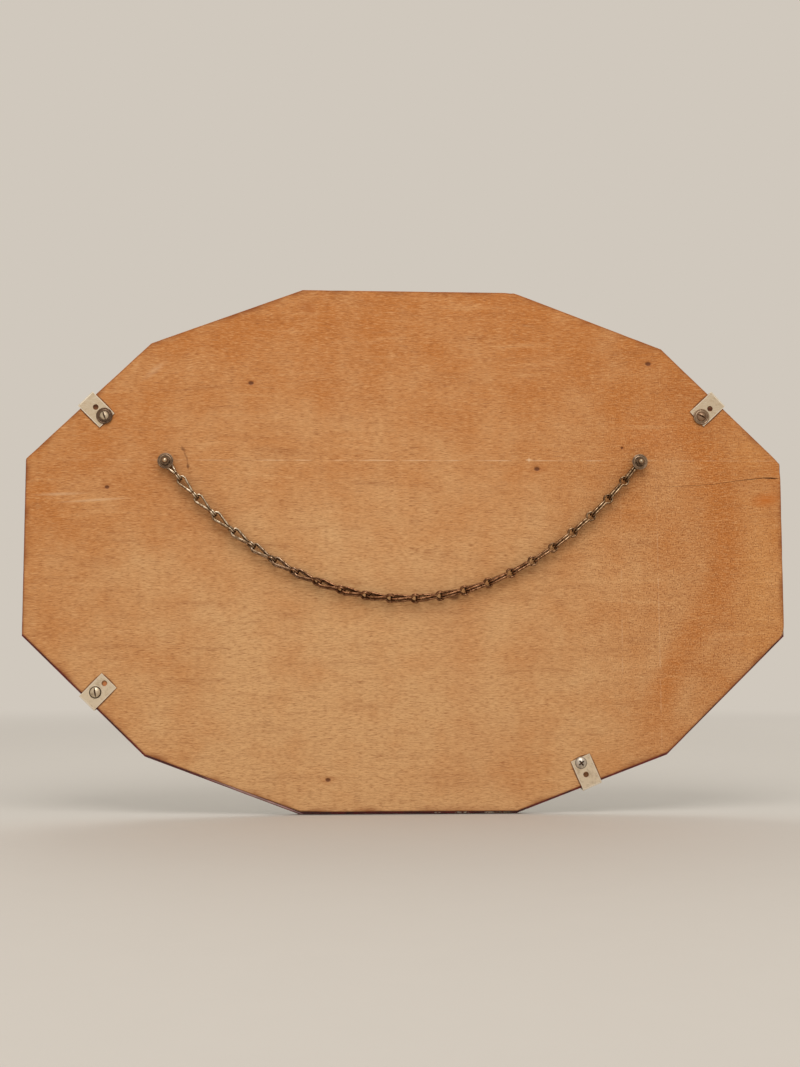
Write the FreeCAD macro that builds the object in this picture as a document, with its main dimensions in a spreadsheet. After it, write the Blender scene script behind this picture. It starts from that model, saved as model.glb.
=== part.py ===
"""Frameless twelve-sided wall mirror, modelled with its plywood back and hanging chain.

The glass front faces -Y and the plywood back faces +Y, with +Z up.  The origin is the centre of
the plywood's back face.  Left and right are as seen from behind, so left is +X.  Millimetres.
"""
import FreeCAD
import Part
import Sketcher
import math
import os

Vector = FreeCAD.Vector
Rotation = FreeCAD.Rotation
Placement = FreeCAD.Placement

doc = FreeCAD.newDocument("Mirror")
sheet = doc.addObject("Spreadsheet::Sheet", "Sizes")

DIMENSIONS = (
    # Glass plate and its coats
    ("glass_width", 610),
    ("glass_height", 420),
    ("top_edge", 172),
    ("side_edge", 140),
    ("shoulder_width", 415),
    ("shoulder_height", 329),
    ("glass_thickness", 5),
    ("bevel_width", 20),
    ("bevel_depth", 2.4),
    ("silver_thickness", 0.1),
    ("paint_thickness", 0.2),
    ("glass_drop", 0.8),
    # Plywood back
    ("board_thickness", 6),
    ("board_inset", 1.6),
    # Sheet-metal clips that hold the glass to the plywood
    ("clip_width", 16.2),
    ("clip_length", 24.8),
    ("clip_sheet", 0.8),
    ("upper_clip_gap", 1.4),
    ("lower_clip_gap", 0.5),
    ("clip_lip", 7),
    ("clip_lip_gap", 0.15),
    ("clip_hole_diameter", 4.5),
    ("clip_hole_outer", 10.9),
    ("clip_hole_inner", 20.8),
    ("clip_hole_offset", 1.1),
    ("upper_left_clip_place", 68.3),
    ("upper_right_clip_place", 61.4),
    ("lower_left_clip_place", 61.4),
    ("lower_right_clip_place", 66.2),
    # Screws through the clips
    ("screw_diameter", 3.2),
    ("screw_length", 6),
    ("screw_tip", 1.6),
    ("screw_point_diameter", 0.8),
    ("screw_slack", 0.05),
    ("round_head_diameter", 7.6),
    ("round_head_height", 2.2),
    ("wide_head_diameter", 9.6),
    ("wide_head_height", 2.6),
    ("slot_width", 1.2),
    ("slot_depth", 1.1),
    ("cross_width", 1.3),
    ("cross_span", 4.6),
    ("clip_washer_diameter", 13),
    ("clip_washer_thickness", 0.9),
    # Bolts that hold the chain's ends
    ("bolt_span", 380),
    ("bolt_offset", 3.4),
    ("bolt_height", 67.5),
    ("bolt_diameter", 3.5),
    ("bolt_head_diameter", 7),
    ("bolt_hole_slack", 0.1),
    ("bolt_proud", 1.6),
    ("bolt_end_height", 1.2),
    ("chain_washer_diameter", 12.6),
    ("chain_washer_thickness", 0.9),
    ("nut_across_flats", 6.4),
    ("nut_height", 2.6),
    # Chain of folded wire links
    ("link_count", 23),
    ("link_pitch", 19.9),
    ("wire_diameter", 1.5),
    ("strand_gap", 0.6),
    ("bow_width", 8),
    ("eye_play", 0.75),
    ("eye_gap", 0.1),
    ("joint_play", 0.5),
    ("flare_radius", 1.2),
    ("neck_radius", 3),
    ("neck_run", 0.4),
    ("bolt_play", 0.3),
    ("chain_clearance", 0.85),
    ("washer_clearance", 0.1),
    ("first_turning_link", 2),
    ("last_turning_link", 18),
    ("chain_turn", 90),
)

for row, (alias, value) in enumerate(DIMENSIONS, start=1):
    sheet.set("A%d" % row, alias)
    sheet.set("B%d" % row, str(value))
    sheet.setAlias("B%d" % row, alias)
doc.recompute()

SUB_PARTS = []
TOLERANCE = 1e-6
CURVE_HALVINGS = 60
SWEEP_ERROR = 0.01


def size(alias):
    """Value of one cell of the sheet."""
    return float(sheet.get(alias))


def keep(obj, label):
    """Name a finished sub-part and list it for writing."""
    obj.Label = label
    SUB_PARTS.append(obj)
    return obj


def bind(obj, **expressions):
    """Bind properties of an object to expressions on the sheet."""
    for name, expression in expressions.items():
        obj.setExpression(name.replace("__", "."), expression)


def origin_plane(body, role):
    return next(item for item in body.Origin.OriginFeatures if item.Role == role)


def polygon_sketch(body, name, role, corners):
    """Closed polygon on an origin plane, each corner held by two expressions."""
    sketch = body.newObject("Sketcher::SketchObject", name)
    sketch.AttachmentSupport = [(origin_plane(body, role), "")]
    sketch.MapMode = "FlatFace"
    points = []
    for corner in corners:
        values = [float(sheet.evalExpression(text)) for text in corner]
        points.append(Vector(values[0], values[1], 0))
    count = len(points)
    for i in range(count):
        sketch.addGeometry(Part.LineSegment(points[i], points[(i + 1) % count]), False)
    for i in range(count):
        sketch.addConstraint(Sketcher.Constraint("Coincident", i, 2, (i + 1) % count, 1))
    for i, corner in enumerate(corners):
        hold_point(sketch, i, "DistanceX", points[i].x, corner[0])
        hold_point(sketch, i, "DistanceY", points[i].y, corner[1])
    return sketch


def hold_point(sketch, line, kind, value, expression):
    """Hold the start of a line at a signed distance from the sketch's origin."""
    if abs(value) < TOLERANCE:
        axis = -2 if kind == "DistanceX" else -1
        sketch.addConstraint(Sketcher.Constraint("PointOnObject", line, 1, axis))
        return
    if value > 0:
        constraint = Sketcher.Constraint(kind, -1, 1, line, 1, value)
    else:
        constraint = Sketcher.Constraint(kind, line, 1, -1, 1, -value)
        expression = "-(%s)" % expression
    index = sketch.addConstraint(constraint)
    sketch.setExpression("Constraints[%d]" % index, expression)


# Twelve-sided plates

TOP_LEAN = ("atan((Sizes.glass_height - Sizes.shoulder_height)"
            " / (Sizes.shoulder_width - Sizes.top_edge))")
SIDE_LEAN = ("atan((Sizes.glass_width - Sizes.shoulder_width)"
             " / (Sizes.shoulder_height - Sizes.side_edge))")


def outline_corners(inset):
    """Corner expressions of the outline, set in by a parallel distance."""
    shoulder = "%s / (1 + sin(%s + %s))" % (inset, TOP_LEAN, SIDE_LEAN)
    top_x = "Sizes.top_edge / 2 - %s * tan(%s / 2)" % (inset, TOP_LEAN)
    top_z = "Sizes.glass_height / 2 - %s" % inset
    shoulder_x = ("Sizes.shoulder_width / 2 - %s * (sin(%s) + cos(%s))"
                  % (shoulder, TOP_LEAN, SIDE_LEAN))
    shoulder_z = ("Sizes.shoulder_height / 2 - %s * (cos(%s) + sin(%s))"
                  % (shoulder, TOP_LEAN, SIDE_LEAN))
    side_x = "Sizes.glass_width / 2 - %s" % inset
    side_z = "Sizes.side_edge / 2 - %s * tan(%s / 2)" % (inset, SIDE_LEAN)
    quarter = [(top_x, top_z), (shoulder_x, shoulder_z), (side_x, side_z)]
    corners = []
    for sign_x, sign_z, order in ((1, 1, 1), (1, -1, -1), (-1, -1, 1), (-1, 1, -1)):
        for x, z in quarter[::order]:
            corners.append((signed(sign_x, x), signed(sign_z, z)))
    return corners


def signed(sign, expression):
    return expression if sign > 0 else "-(%s)" % expression


def plate(name, inset, thickness, back_y, drop):
    """Twelve-sided plate whose back face lies at back_y."""
    body = doc.addObject("PartDesign::Body", name)
    sketch = polygon_sketch(body, name + "_outline", "XZ_Plane", outline_corners(inset))
    pad = body.newObject("PartDesign::Pad", name + "_pad")
    pad.Profile = sketch
    pad.setExpression("Length", thickness)
    body.setExpression("Placement.Base.y", back_y)
    body.setExpression("Placement.Base.z", "-" + drop)
    doc.recompute()
    return body


def front_face(feature):
    """Number of the face that lies furthest along -Y."""
    faces = feature.Shape.Faces
    return min(range(len(faces)), key=lambda i: faces[i].CenterOfMass.y)


glass = plate(
    "mirror_glass", "0", "Sizes.glass_thickness",
    "-Sizes.board_thickness - Sizes.paint_thickness - Sizes.silver_thickness", "Sizes.glass_drop")
glass_pad = glass.Tip
bevel = glass.newObject("PartDesign::Chamfer", "bevel")
bevel.Base = (glass_pad, ["Face%d" % (front_face(glass_pad) + 1)])
bevel.ChamferType = "Two distances"
bind(bevel, Size="Sizes.bevel_depth", Size2="Sizes.bevel_width")
doc.recompute()
flat_width = bevel.Shape.Faces[front_face(bevel)].BoundBox.XLength
if abs(flat_width - (size("glass_width") - 2 * size("bevel_width"))) > TOLERANCE:
    bevel.FlipDirection = True
doc.recompute()
keep(glass, "mirror_glass")

keep(plate("silvering", "0", "Sizes.silver_thickness",
           "-Sizes.board_thickness - Sizes.paint_thickness", "Sizes.glass_drop"), "silvering")
keep(plate("backing_paint", "0", "Sizes.paint_thickness",
           "-Sizes.board_thickness", "Sizes.glass_drop"), "backing_paint")
board_blank = plate("board_blank", "Sizes.board_inset", "Sizes.board_thickness", "0", "0")


# Clips

CLIP_STACK = ("(Sizes.board_thickness + Sizes.paint_thickness + Sizes.silver_thickness"
              " + Sizes.glass_thickness - Sizes.bevel_depth)")
BEVEL_SLOPE = "(Sizes.bevel_depth / Sizes.bevel_width)"


def lip_height(outward, sheet_count):
    """Height of the lip's inner (0) or outer (1) face at a distance out from the glass edge."""
    return ("-%s - Sizes.clip_lip_gap - %d * Sizes.clip_sheet + %s * (%s)"
            % (CLIP_STACK, sheet_count, BEVEL_SLOPE, outward))


def clip_corners(gap):
    """Side view of a clip: leaf on the plywood, leg past the edges, lip on the bevel."""
    outer = gap + " + Sizes.clip_sheet"
    leaf_end = outer + " - Sizes.clip_length"
    return [
        ("0", leaf_end),
        ("0", gap),
        (lip_height(gap, 0), gap),
        (lip_height("-Sizes.clip_lip", 0), "-Sizes.clip_lip"),
        (lip_height("-Sizes.clip_lip", 1), "-Sizes.clip_lip"),
        (lip_height(outer, 1), outer),
        ("Sizes.clip_sheet", outer),
        ("Sizes.clip_sheet", leaf_end),
    ]


def outer_bends(pad):
    """Edges across the clip at the outside of its two bends."""
    furthest = max(vertex.Point.z for vertex in pad.Shape.Vertexes)
    names = []
    for i, edge in enumerate(pad.Shape.Edges):
        points = [vertex.Point for vertex in edge.Vertexes]
        across = abs(points[0].x - points[1].x) > size("clip_width") / 2
        if across and abs(points[0].z - furthest) < TOLERANCE:
            names.append("Edge%d" % (i + 1))
    return names


def make_clip(name, gap):
    """Clip in its own frame: X along the glass edge, Z outward, Y away from the plywood."""
    body = doc.addObject("PartDesign::Body", name)
    sketch = polygon_sketch(body, name + "_side", "YZ_Plane", clip_corners(gap))
    pad = body.newObject("PartDesign::Pad", name + "_pad")
    pad.Profile = sketch
    pad.SideType = "Symmetric"
    pad.setExpression("Length", "Sizes.clip_width")
    doc.recompute()
    bends = body.newObject("PartDesign::Fillet", name + "_bends")
    bends.Base = (pad, outer_bends(pad))
    bends.setExpression("Radius", "Sizes.clip_sheet")
    doc.recompute()
    holes = body.newObject("Sketcher::SketchObject", name + "_holes")
    holes.AttachmentSupport = [(origin_plane(body, "XZ_Plane"), "")]
    holes.MapMode = "FlatFace"
    for i, alias in enumerate(("clip_hole_outer", "clip_hole_inner")):
        place = "Sizes.%s - Sizes.clip_sheet - %s" % (alias, gap)
        centre = Vector(-size("clip_hole_offset"), -float(sheet.evalExpression(place)), 0)
        holes.addGeometry(Part.Circle(centre, Vector(0, 0, 1), size("clip_hole_diameter") / 2))
        index = holes.addConstraint(
            Sketcher.Constraint("Diameter", i, size("clip_hole_diameter")))
        holes.setExpression("Constraints[%d]" % index, "Sizes.clip_hole_diameter")
        index = holes.addConstraint(Sketcher.Constraint("DistanceX", i, 3, -1, 1, -centre.x))
        holes.setExpression("Constraints[%d]" % index, "Sizes.clip_hole_offset")
        index = holes.addConstraint(Sketcher.Constraint("DistanceY", i, 3, -1, 1, -centre.y))
        holes.setExpression("Constraints[%d]" % index, place)
    pocket = body.newObject("PartDesign::Pocket", name + "_pocket")
    pocket.Profile = holes
    pocket.Reversed = False
    pocket.setExpression("Length", "Sizes.clip_sheet * 2")
    doc.recompute()
    if pocket.Shape.Volume > bends.Shape.Volume - TOLERANCE:
        pocket.Reversed = True
        doc.recompute()
    return body


def edge_frame(first, second, from_first, twist):
    """Placement on the glass edge between two outline corners, with Z turned outward."""
    along = (second - first).normalize()
    outward = Vector(along.z, 0, -along.x)
    middle = first + along * from_first
    if outward.dot(middle) < 0:
        outward = outward * -1
    sideways = Vector(0, 1, 0).cross(outward)
    turn = Rotation(sideways, Vector(0, 1, 0), outward, "ZYX")
    return Placement(middle, Rotation(Vector(0, 1, 0), twist) * turn)


def glass_corner(side, height, name):
    """Corner of the glass outline: side is +1 at left, height is +1 at the top."""
    across = {"top": "top_edge", "shoulder": "shoulder_width", "side": "glass_width"}[name]
    upright = {"top": "glass_height", "shoulder": "shoulder_height", "side": "side_edge"}[name]
    return Vector(side * size(across) / 2, 0, height * size(upright) / 2 - size("glass_drop"))


# Each clip: name, side, height, the corner its edge runs to, its turn in degrees, its used hole
CLIPS = (
    ("upper_left", 1, 1, "side", 1.1, "clip_hole_inner"),
    ("upper_right", -1, 1, "side", -2.9, "clip_hole_inner"),
    ("lower_left", 1, -1, "side", 0.0, "clip_hole_outer"),
    ("lower_right", -1, -1, "top", 2.8, "clip_hole_inner"),
)

screw_seats = {}
for name, side, height, corner, twist, hole in CLIPS:
    gap = "upper_clip_gap" if height > 0 else "lower_clip_gap"
    clip = make_clip("clip_" + name, "Sizes." + gap)
    shoulder = glass_corner(side, height, "shoulder")
    clip.Placement = edge_frame(
        shoulder, glass_corner(side, height, corner), size(name + "_clip_place"), twist)
    hole_z = size(gap) + size("clip_sheet") - size(hole)
    screw_seats[name] = clip.Placement.multVec(Vector(-size("clip_hole_offset"), 0, hole_z))
    keep(clip, "clip_" + name)


# Fasteners, built upright along Z and then turned so that Z points out of the back

OUT_OF_BACK = Rotation(Vector(1, 0, 0), -90)


def primitive(kind, name, **expressions):
    obj = doc.addObject(kind, name)
    bind(obj, **expressions)
    return obj


def fuse(name, shapes):
    obj = doc.addObject("Part::MultiFuse", name)
    obj.Shapes = shapes
    return obj


def cut(name, base, tool):
    obj = doc.addObject("Part::Cut", name)
    obj.Base = base
    obj.Tool = tool
    return obj


def dome(name, diameter, height, base):
    """Round cap of a given width and height, with its flat face at base."""
    radius = "((%s)^2 / 4 + (%s)^2) / (2 * %s)" % (diameter, height, height)
    return primitive(
        "Part::Sphere", name, Radius=radius, Angle1="asin(1 - %s / (%s))" % (height, radius),
        Placement__Base__z="%s + %s - %s" % (base, height, radius))


def slot_tool(name, width, span, top):
    """Block that cuts one straight recess down from the top of a head."""
    return primitive(
        "Part::Box", name, Length=span, Width=width, Height="2 * Sizes.slot_depth",
        Placement__Base__x="-%s / 2" % span, Placement__Base__y="-%s / 2" % width,
        Placement__Base__z="%s - Sizes.slot_depth" % top)


def make_screw(name, head, recess):
    """Wood screw with a round head, its seat at Z = 0 and its point downward."""
    diameter = "Sizes.%s_head_diameter" % head
    height = "Sizes.%s_head_height" % head
    shank_length = "(Sizes.screw_length - Sizes.screw_tip)"
    cap = dome(name + "_head", diameter, height, "0")
    shank = primitive(
        "Part::Cylinder", name + "_shank", Radius="Sizes.screw_diameter / 2",
        Height=shank_length, Placement__Base__z="-" + shank_length)
    point = primitive(
        "Part::Cone", name + "_point", Radius1="Sizes.screw_point_diameter / 2",
        Radius2="Sizes.screw_diameter / 2", Height="Sizes.screw_tip",
        Placement__Base__z="-Sizes.screw_length")
    solid = fuse(name + "_solid", [cap, shank, point])
    if recess == "slot":
        tool = slot_tool(name + "_slot", "Sizes.slot_width", diameter, height)
    else:
        arms = [slot_tool(name + "_arm_a", "Sizes.cross_width", "Sizes.cross_span", height),
                slot_tool(name + "_arm_b", "Sizes.cross_span", "Sizes.cross_width", height)]
        tool = fuse(name + "_cross", arms)
    return cut(name, solid, tool)


def make_washer(name, diameter, bore, thickness):
    disc = primitive("Part::Cylinder", name + "_disc", Radius=diameter + " / 2", Height=thickness)
    hole = primitive("Part::Cylinder", name + "_hole", Radius=bore + " / 2", Height=thickness)
    return cut(name, disc, hole)


# Each clip screw: clip, head, recess, slot direction in degrees, whether it has a washer
CLIP_SCREWS = (
    ("upper_left", "round", "slot", 110, True),
    ("upper_right", "round", "slot", 150, True),
    ("lower_left", "wide", "slot", 100, False),
    ("lower_right", "wide", "cross", 40, False),
)

board_tools = []
for name, head, recess, slot_angle, has_washer in CLIP_SCREWS:
    seat = screw_seats[name]
    seat_y = size("clip_sheet")
    if has_washer:
        washer = make_washer("clip_washer_" + name, "Sizes.clip_washer_diameter",
                             "Sizes.clip_hole_diameter", "Sizes.clip_washer_thickness")
        washer.Placement = Placement(Vector(seat.x, seat_y, seat.z), OUT_OF_BACK)
        keep(washer, "clip_washer_" + name)
        seat_y += size("clip_washer_thickness")
    screw = make_screw("clip_screw_" + name, head, recess)
    screw.Placement = Placement(
        Vector(seat.x, seat_y, seat.z), OUT_OF_BACK * Rotation(Vector(0, 0, 1), slot_angle))
    keep(screw, "clip_screw_" + name)
    pilot = primitive(
        "Part::Cylinder", "pilot_" + name,
        Radius="Sizes.screw_diameter / 2 + Sizes.screw_slack", Height="Sizes.screw_length")
    pilot.Placement = Placement(
        Vector(seat.x, seat_y - size("screw_length") - size("screw_slack"), seat.z), OUT_OF_BACK)
    board_tools.append(pilot)


# Chain link: one closed wire, folded so that it has a double bow at one end and two eyes at the other

wire = size("wire_diameter")
strand = wire + size("strand_gap")
bow_radius = (size("bow_width") - wire) / 2
eye_radius = strand / 2 + wire + size("eye_play")
eye_side = (wire + size("eye_gap")) / 2
pitch = size("link_pitch")
bow_past_eye = math.sqrt((eye_radius - wire - size("joint_play")) ** 2 - (strand / 2) ** 2)
eye_x = pitch - bow_past_eye
flare = size("flare_radius")
flare_x = eye_x - math.sqrt((eye_radius + flare) ** 2 - (strand / 2 + flare) ** 2)
neck = size("neck_radius")
neck_x = flare_x - size("neck_run")
neck_reach = math.hypot(neck_x - bow_radius, eye_side + neck)
leg_angle = math.asin((bow_radius + neck) / neck_reach) - math.atan2(
    eye_side + neck, neck_x - bow_radius)


def link_quarter_path():
    """Wire centre line of a quarter link, from the bow's tip to the far end of an eye."""
    height = strand / 2

    def bow_point(angle):
        return Vector(
            bow_radius - bow_radius * math.cos(angle), bow_radius * math.sin(angle), height)

    bow_sweep = math.pi / 2 + leg_angle
    bow_end = bow_point(bow_sweep)
    neck_start = Vector(
        neck_x - neck * math.sin(leg_angle), eye_side + neck - neck * math.cos(leg_angle), height)
    neck_middle = Vector(
        neck_x - neck * math.sin(leg_angle / 2), eye_side + neck - neck * math.cos(leg_angle / 2),
        height)
    neck_end = Vector(neck_x, eye_side, height)
    flare_start = Vector(flare_x, eye_side, height)
    flare_turn = math.atan2(eye_x - flare_x, height + flare)

    def flare_point(angle):
        return Vector(flare_x + flare * math.sin(angle), eye_side,
                      height + flare - flare * math.cos(angle))

    def eye_point(angle):
        return Vector(eye_x + eye_radius * math.cos(angle), eye_side, eye_radius * math.sin(angle))

    eye_start = math.pi / 2 + flare_turn
    edges = [
        Part.Arc(bow_point(0), bow_point(bow_sweep / 2), bow_end),
        Part.LineSegment(bow_end, neck_start),
        Part.Arc(neck_start, neck_middle, neck_end),
        Part.LineSegment(neck_end, flare_start),
        Part.Arc(flare_start, flare_point(flare_turn / 2), flare_point(flare_turn)),
        Part.Arc(flare_point(flare_turn), eye_point(eye_start / 2), eye_point(0)),
    ]
    return Part.Wire([edge.toShape() for edge in edges])


def link_solid():
    """Whole link, from a quarter swept along its path and mirrored twice."""
    path = link_quarter_path()
    start = path.Vertexes[0].Point
    section = Part.Wire([Part.Circle(start, Vector(0, 1, 0), wire / 2).toShape()])
    quarter = path.makePipeShell([section], True, False)
    expected = math.pi * wire ** 2 / 4 * path.Length
    if abs(quarter.Volume - expected) > expected * SWEEP_ERROR:
        raise RuntimeError("the wire of a link was swept wrongly")
    half = quarter.fuse(quarter.mirror(Vector(0, 0, 0), Vector(0, 1, 0)))
    whole = half.fuse(half.mirror(Vector(0, 0, 0), Vector(0, 0, 1)))
    return whole.removeSplitter().Solids[0]


# Chain line: the links hang between the two bolts as a weighted string does

link_count = int(size("link_count"))
chain_y = max(eye_radius + wire / 2, bow_radius + wire / 2) + size("chain_clearance")
bolt_seat = wire / 2 + size("bolt_diameter") / 2 + size("bolt_play")
bow_end_y = (strand + wire) / 2 + size("washer_clearance")
eye_end_y = eye_side + wire / 2 + size("washer_clearance")
link_reach = eye_x + eye_radius
first_tilt = math.asin((chain_y - bow_end_y) / pitch)
last_tilt = math.asin((chain_y - eye_end_y) / link_reach)


def link_lengths():
    """Length of each link in the plane of the plywood, between the points where it is held."""
    lengths = [pitch] * link_count
    lengths[0] = (pitch - bolt_seat) * math.cos(first_tilt)
    lengths[-1] = (link_reach - bolt_seat) * math.cos(last_tilt)
    return lengths


def hanging_angles(curve):
    """Angle of each link to the horizontal, the same on both sides of the middle link."""
    return [math.atan(curve * (index - (link_count - 1) / 2)) for index in range(link_count)]


def hang_chain():
    """Angles at which the chain spans its bolts, found by halving the range of its curve."""
    low = 0.0
    high = 1.0
    for _ in range(CURVE_HALVINGS):
        curve = (low + high) / 2
        span = sum(length * math.cos(angle)
                   for length, angle in zip(link_lengths(), hanging_angles(curve)))
        if span > size("bolt_span"):
            low = curve
        else:
            high = curve
    return hanging_angles(curve)


def link_turn(index):
    """Turn of a link about its own length: flat at the left bolt, on edge at the right one."""
    first = size("first_turning_link") - 1
    last = size("last_turning_link") - 1
    share = min(1.0, max(0.0, (index - first) / (last - first)))
    return share * size("chain_turn")


def link_placements():
    """Placement of every link, from the left bolt to the right one."""
    placements = []
    bolt_y = bow_end_y + bolt_seat * math.sin(first_tilt)
    tip = Vector(size("bolt_span") / 2 + size("bolt_offset"), bolt_y, size("bolt_height"))
    for index, angle in enumerate(chain_angles):
        tilt = {0: first_tilt, link_count - 1: -last_tilt}.get(index, 0.0)
        level = math.cos(tilt)
        along = Vector(-math.cos(angle) * level, math.sin(tilt), math.sin(angle) * level)
        if index == 0:
            tip = tip - along * bolt_seat
        lift = Vector(0, 1, 0) - along * along.y
        turn = Rotation(along, lift.cross(along), lift, "XZY")
        roll = Rotation(along, -link_turn(index))
        placements.append(Placement(tip, roll * turn))
        tip = tip + along * pitch
    return placements


chain_angles = hang_chain()
chain_rise = sum(length * math.sin(angle) for length, angle in zip(link_lengths(), chain_angles))
chain = link_placements()
link_shape = link_solid()
for index, placement in enumerate(chain):
    link = doc.addObject("Part::Feature", "chain_link_%02d" % (index + 1))
    link.Shape = link_shape
    link.Placement = placement
    keep(link, "chain_link_%02d" % (index + 1))


# Chain bolts: flush heads in the front of the plywood, nuts and washers behind

washer_reach = size("chain_washer_diameter") / 2
leg_there = max(0.0, neck_x - (link_reach - bolt_seat - washer_reach)) * math.tan(leg_angle)
left_rise = (bolt_seat + washer_reach) * math.sin(first_tilt) + (strand + wire) / 2
right_rise = (bolt_seat + washer_reach) * math.sin(last_tilt) + eye_side + wire / 2 + leg_there
BOLTS = (
    ("left", 1, size("bolt_height"), bow_end_y + left_rise + size("washer_clearance")),
    ("right", -1, size("bolt_height") + chain_rise,
     eye_end_y + right_rise + size("washer_clearance")),
)
HEAD_DEPTH = "((Sizes.bolt_head_diameter - Sizes.bolt_diameter) / 2)"


def make_bolt(name, length):
    """Countersunk bolt standing on Z = 0, with a rounded end above its straight length."""
    head = primitive(
        "Part::Cone", name + "_head", Radius1="Sizes.bolt_head_diameter / 2",
        Radius2="Sizes.bolt_diameter / 2", Height=HEAD_DEPTH)
    shank = primitive("Part::Cylinder", name + "_shank", Radius="Sizes.bolt_diameter / 2")
    shank.Height = length
    end = dome(name + "_end", "Sizes.bolt_diameter", "Sizes.bolt_end_height", str(length))
    return fuse(name, [head, shank, end])


def make_nut(name):
    """Six-sided nut with its bore."""
    prism = primitive(
        "Part::Prism", name + "_prism", Circumradius="Sizes.nut_across_flats / sqrt(3)",
        Height="Sizes.nut_height")
    prism.Polygon = 6
    bore = primitive(
        "Part::Cylinder", name + "_bore",
        Radius="Sizes.bolt_diameter / 2 + Sizes.bolt_hole_slack", Height="Sizes.nut_height")
    return cut(name, prism, bore)


for name, side, place_z, washer_y in BOLTS:
    place_x = side * size("bolt_span") / 2 + size("bolt_offset")
    nut_y = washer_y + size("chain_washer_thickness")
    end_y = nut_y + size("nut_height") + size("bolt_proud")
    washer = make_washer(
        "chain_washer_" + name, "Sizes.chain_washer_diameter",
        "(Sizes.bolt_diameter + 2 * Sizes.bolt_hole_slack)", "Sizes.chain_washer_thickness")
    washer.Placement = Placement(Vector(place_x, washer_y, place_z), OUT_OF_BACK)
    keep(washer, "chain_washer_" + name)
    nut = make_nut("chain_nut_" + name)
    nut.Placement = Placement(Vector(place_x, nut_y, place_z), OUT_OF_BACK)
    keep(nut, "chain_nut_" + name)
    bolt = make_bolt("chain_bolt_" + name, end_y + size("board_thickness"))
    bolt.Placement = Placement(Vector(place_x, -size("board_thickness"), place_z), OUT_OF_BACK)
    keep(bolt, "chain_bolt_" + name)
    hole = primitive(
        "Part::Cylinder", "bolt_hole_" + name,
        Radius="Sizes.bolt_diameter / 2 + Sizes.bolt_hole_slack", Height="Sizes.board_thickness")
    sink = primitive(
        "Part::Cone", "bolt_sink_" + name,
        Radius1="Sizes.bolt_head_diameter / 2 + Sizes.bolt_hole_slack",
        Radius2="Sizes.bolt_diameter / 2 + Sizes.bolt_hole_slack", Height=HEAD_DEPTH)
    for tool in (hole, sink):
        tool.Placement = Placement(Vector(place_x, -size("board_thickness"), place_z), OUT_OF_BACK)
    board_tools.extend([hole, sink])


# Plywood with its holes

keep(cut("backing_board", board_blank, fuse("board_holes", board_tools)), "backing_board")
doc.recompute()

for obj in doc.Objects:
    if "Invalid" in obj.State or "Error" in obj.State:
        raise RuntimeError("%s failed: %s" % (obj.Name, obj.State))
for obj in SUB_PARTS:
    if obj.Shape.isNull() or not obj.Shape.isValid() or not obj.Shape.Solids:
        raise RuntimeError("%s has no valid solid" % obj.Label)

os.makedirs("parts", exist_ok=True)
for obj in SUB_PARTS:
    obj.Shape.exportStep("parts/%s.step" % obj.Label)
print("%d sub-parts written" % len(SUB_PARTS))
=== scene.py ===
"""Looks of a frameless twelve-sided mirror, seen from behind: plywood, clips and hanging chain.

Metres, in the model's own frame: the plywood's back faces +Y, the glass faces -Y, +Z is up,
and left as seen from behind is +X.
"""
import bpy
import bmesh
import math
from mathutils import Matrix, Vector
from mathutils import noise
from mathutils.geometry import delaunay_2d_cdt


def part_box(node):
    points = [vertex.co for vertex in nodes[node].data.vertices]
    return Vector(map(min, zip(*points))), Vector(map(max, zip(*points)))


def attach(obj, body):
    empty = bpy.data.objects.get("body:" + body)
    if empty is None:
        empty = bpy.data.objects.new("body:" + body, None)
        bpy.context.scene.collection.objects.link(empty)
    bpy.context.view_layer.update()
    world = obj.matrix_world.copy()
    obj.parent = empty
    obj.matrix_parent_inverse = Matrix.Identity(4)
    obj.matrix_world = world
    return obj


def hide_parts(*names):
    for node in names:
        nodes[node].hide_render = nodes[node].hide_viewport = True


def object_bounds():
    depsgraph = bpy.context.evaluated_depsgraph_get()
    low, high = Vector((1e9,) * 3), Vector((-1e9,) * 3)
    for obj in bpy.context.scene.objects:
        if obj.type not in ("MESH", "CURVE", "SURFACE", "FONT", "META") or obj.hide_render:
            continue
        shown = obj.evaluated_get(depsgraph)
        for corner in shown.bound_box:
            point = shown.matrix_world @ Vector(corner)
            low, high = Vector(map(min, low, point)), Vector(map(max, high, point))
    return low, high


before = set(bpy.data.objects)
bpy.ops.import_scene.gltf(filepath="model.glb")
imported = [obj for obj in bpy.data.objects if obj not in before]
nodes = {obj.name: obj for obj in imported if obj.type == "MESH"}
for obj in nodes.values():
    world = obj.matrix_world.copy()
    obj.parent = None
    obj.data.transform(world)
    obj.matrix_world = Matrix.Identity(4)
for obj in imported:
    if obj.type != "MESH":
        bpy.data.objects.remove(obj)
cad_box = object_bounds()
MM = 0.001
ROOT = "mirror"


# Camera: the photograph's frame and where it was taken from

IMAGE_WIDTH = 800
IMAGE_HEIGHT = 1067
FOCAL_PIXELS = 1400
SENSOR = 36.0
CAMERA_PLACE = Vector((0.0676, 1.1135, -0.0863))
CAMERA_AIM = Vector((0.0070, 0.0, 0.0110))


def make_camera():
    """Camera at the place and with the lens that the photograph's outline gives."""
    data = bpy.data.cameras.new("photo_camera")
    data.sensor_width = SENSOR
    data.lens = FOCAL_PIXELS / IMAGE_HEIGHT * SENSOR
    camera = bpy.data.objects.new("photo_camera", data)
    camera.location = CAMERA_PLACE
    camera.rotation_mode = "QUATERNION"
    camera.rotation_quaternion = (CAMERA_AIM - CAMERA_PLACE).to_track_quat("-Z", "Y")
    bpy.context.collection.objects.link(camera)
    bpy.context.scene.camera = camera
    return camera


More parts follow.
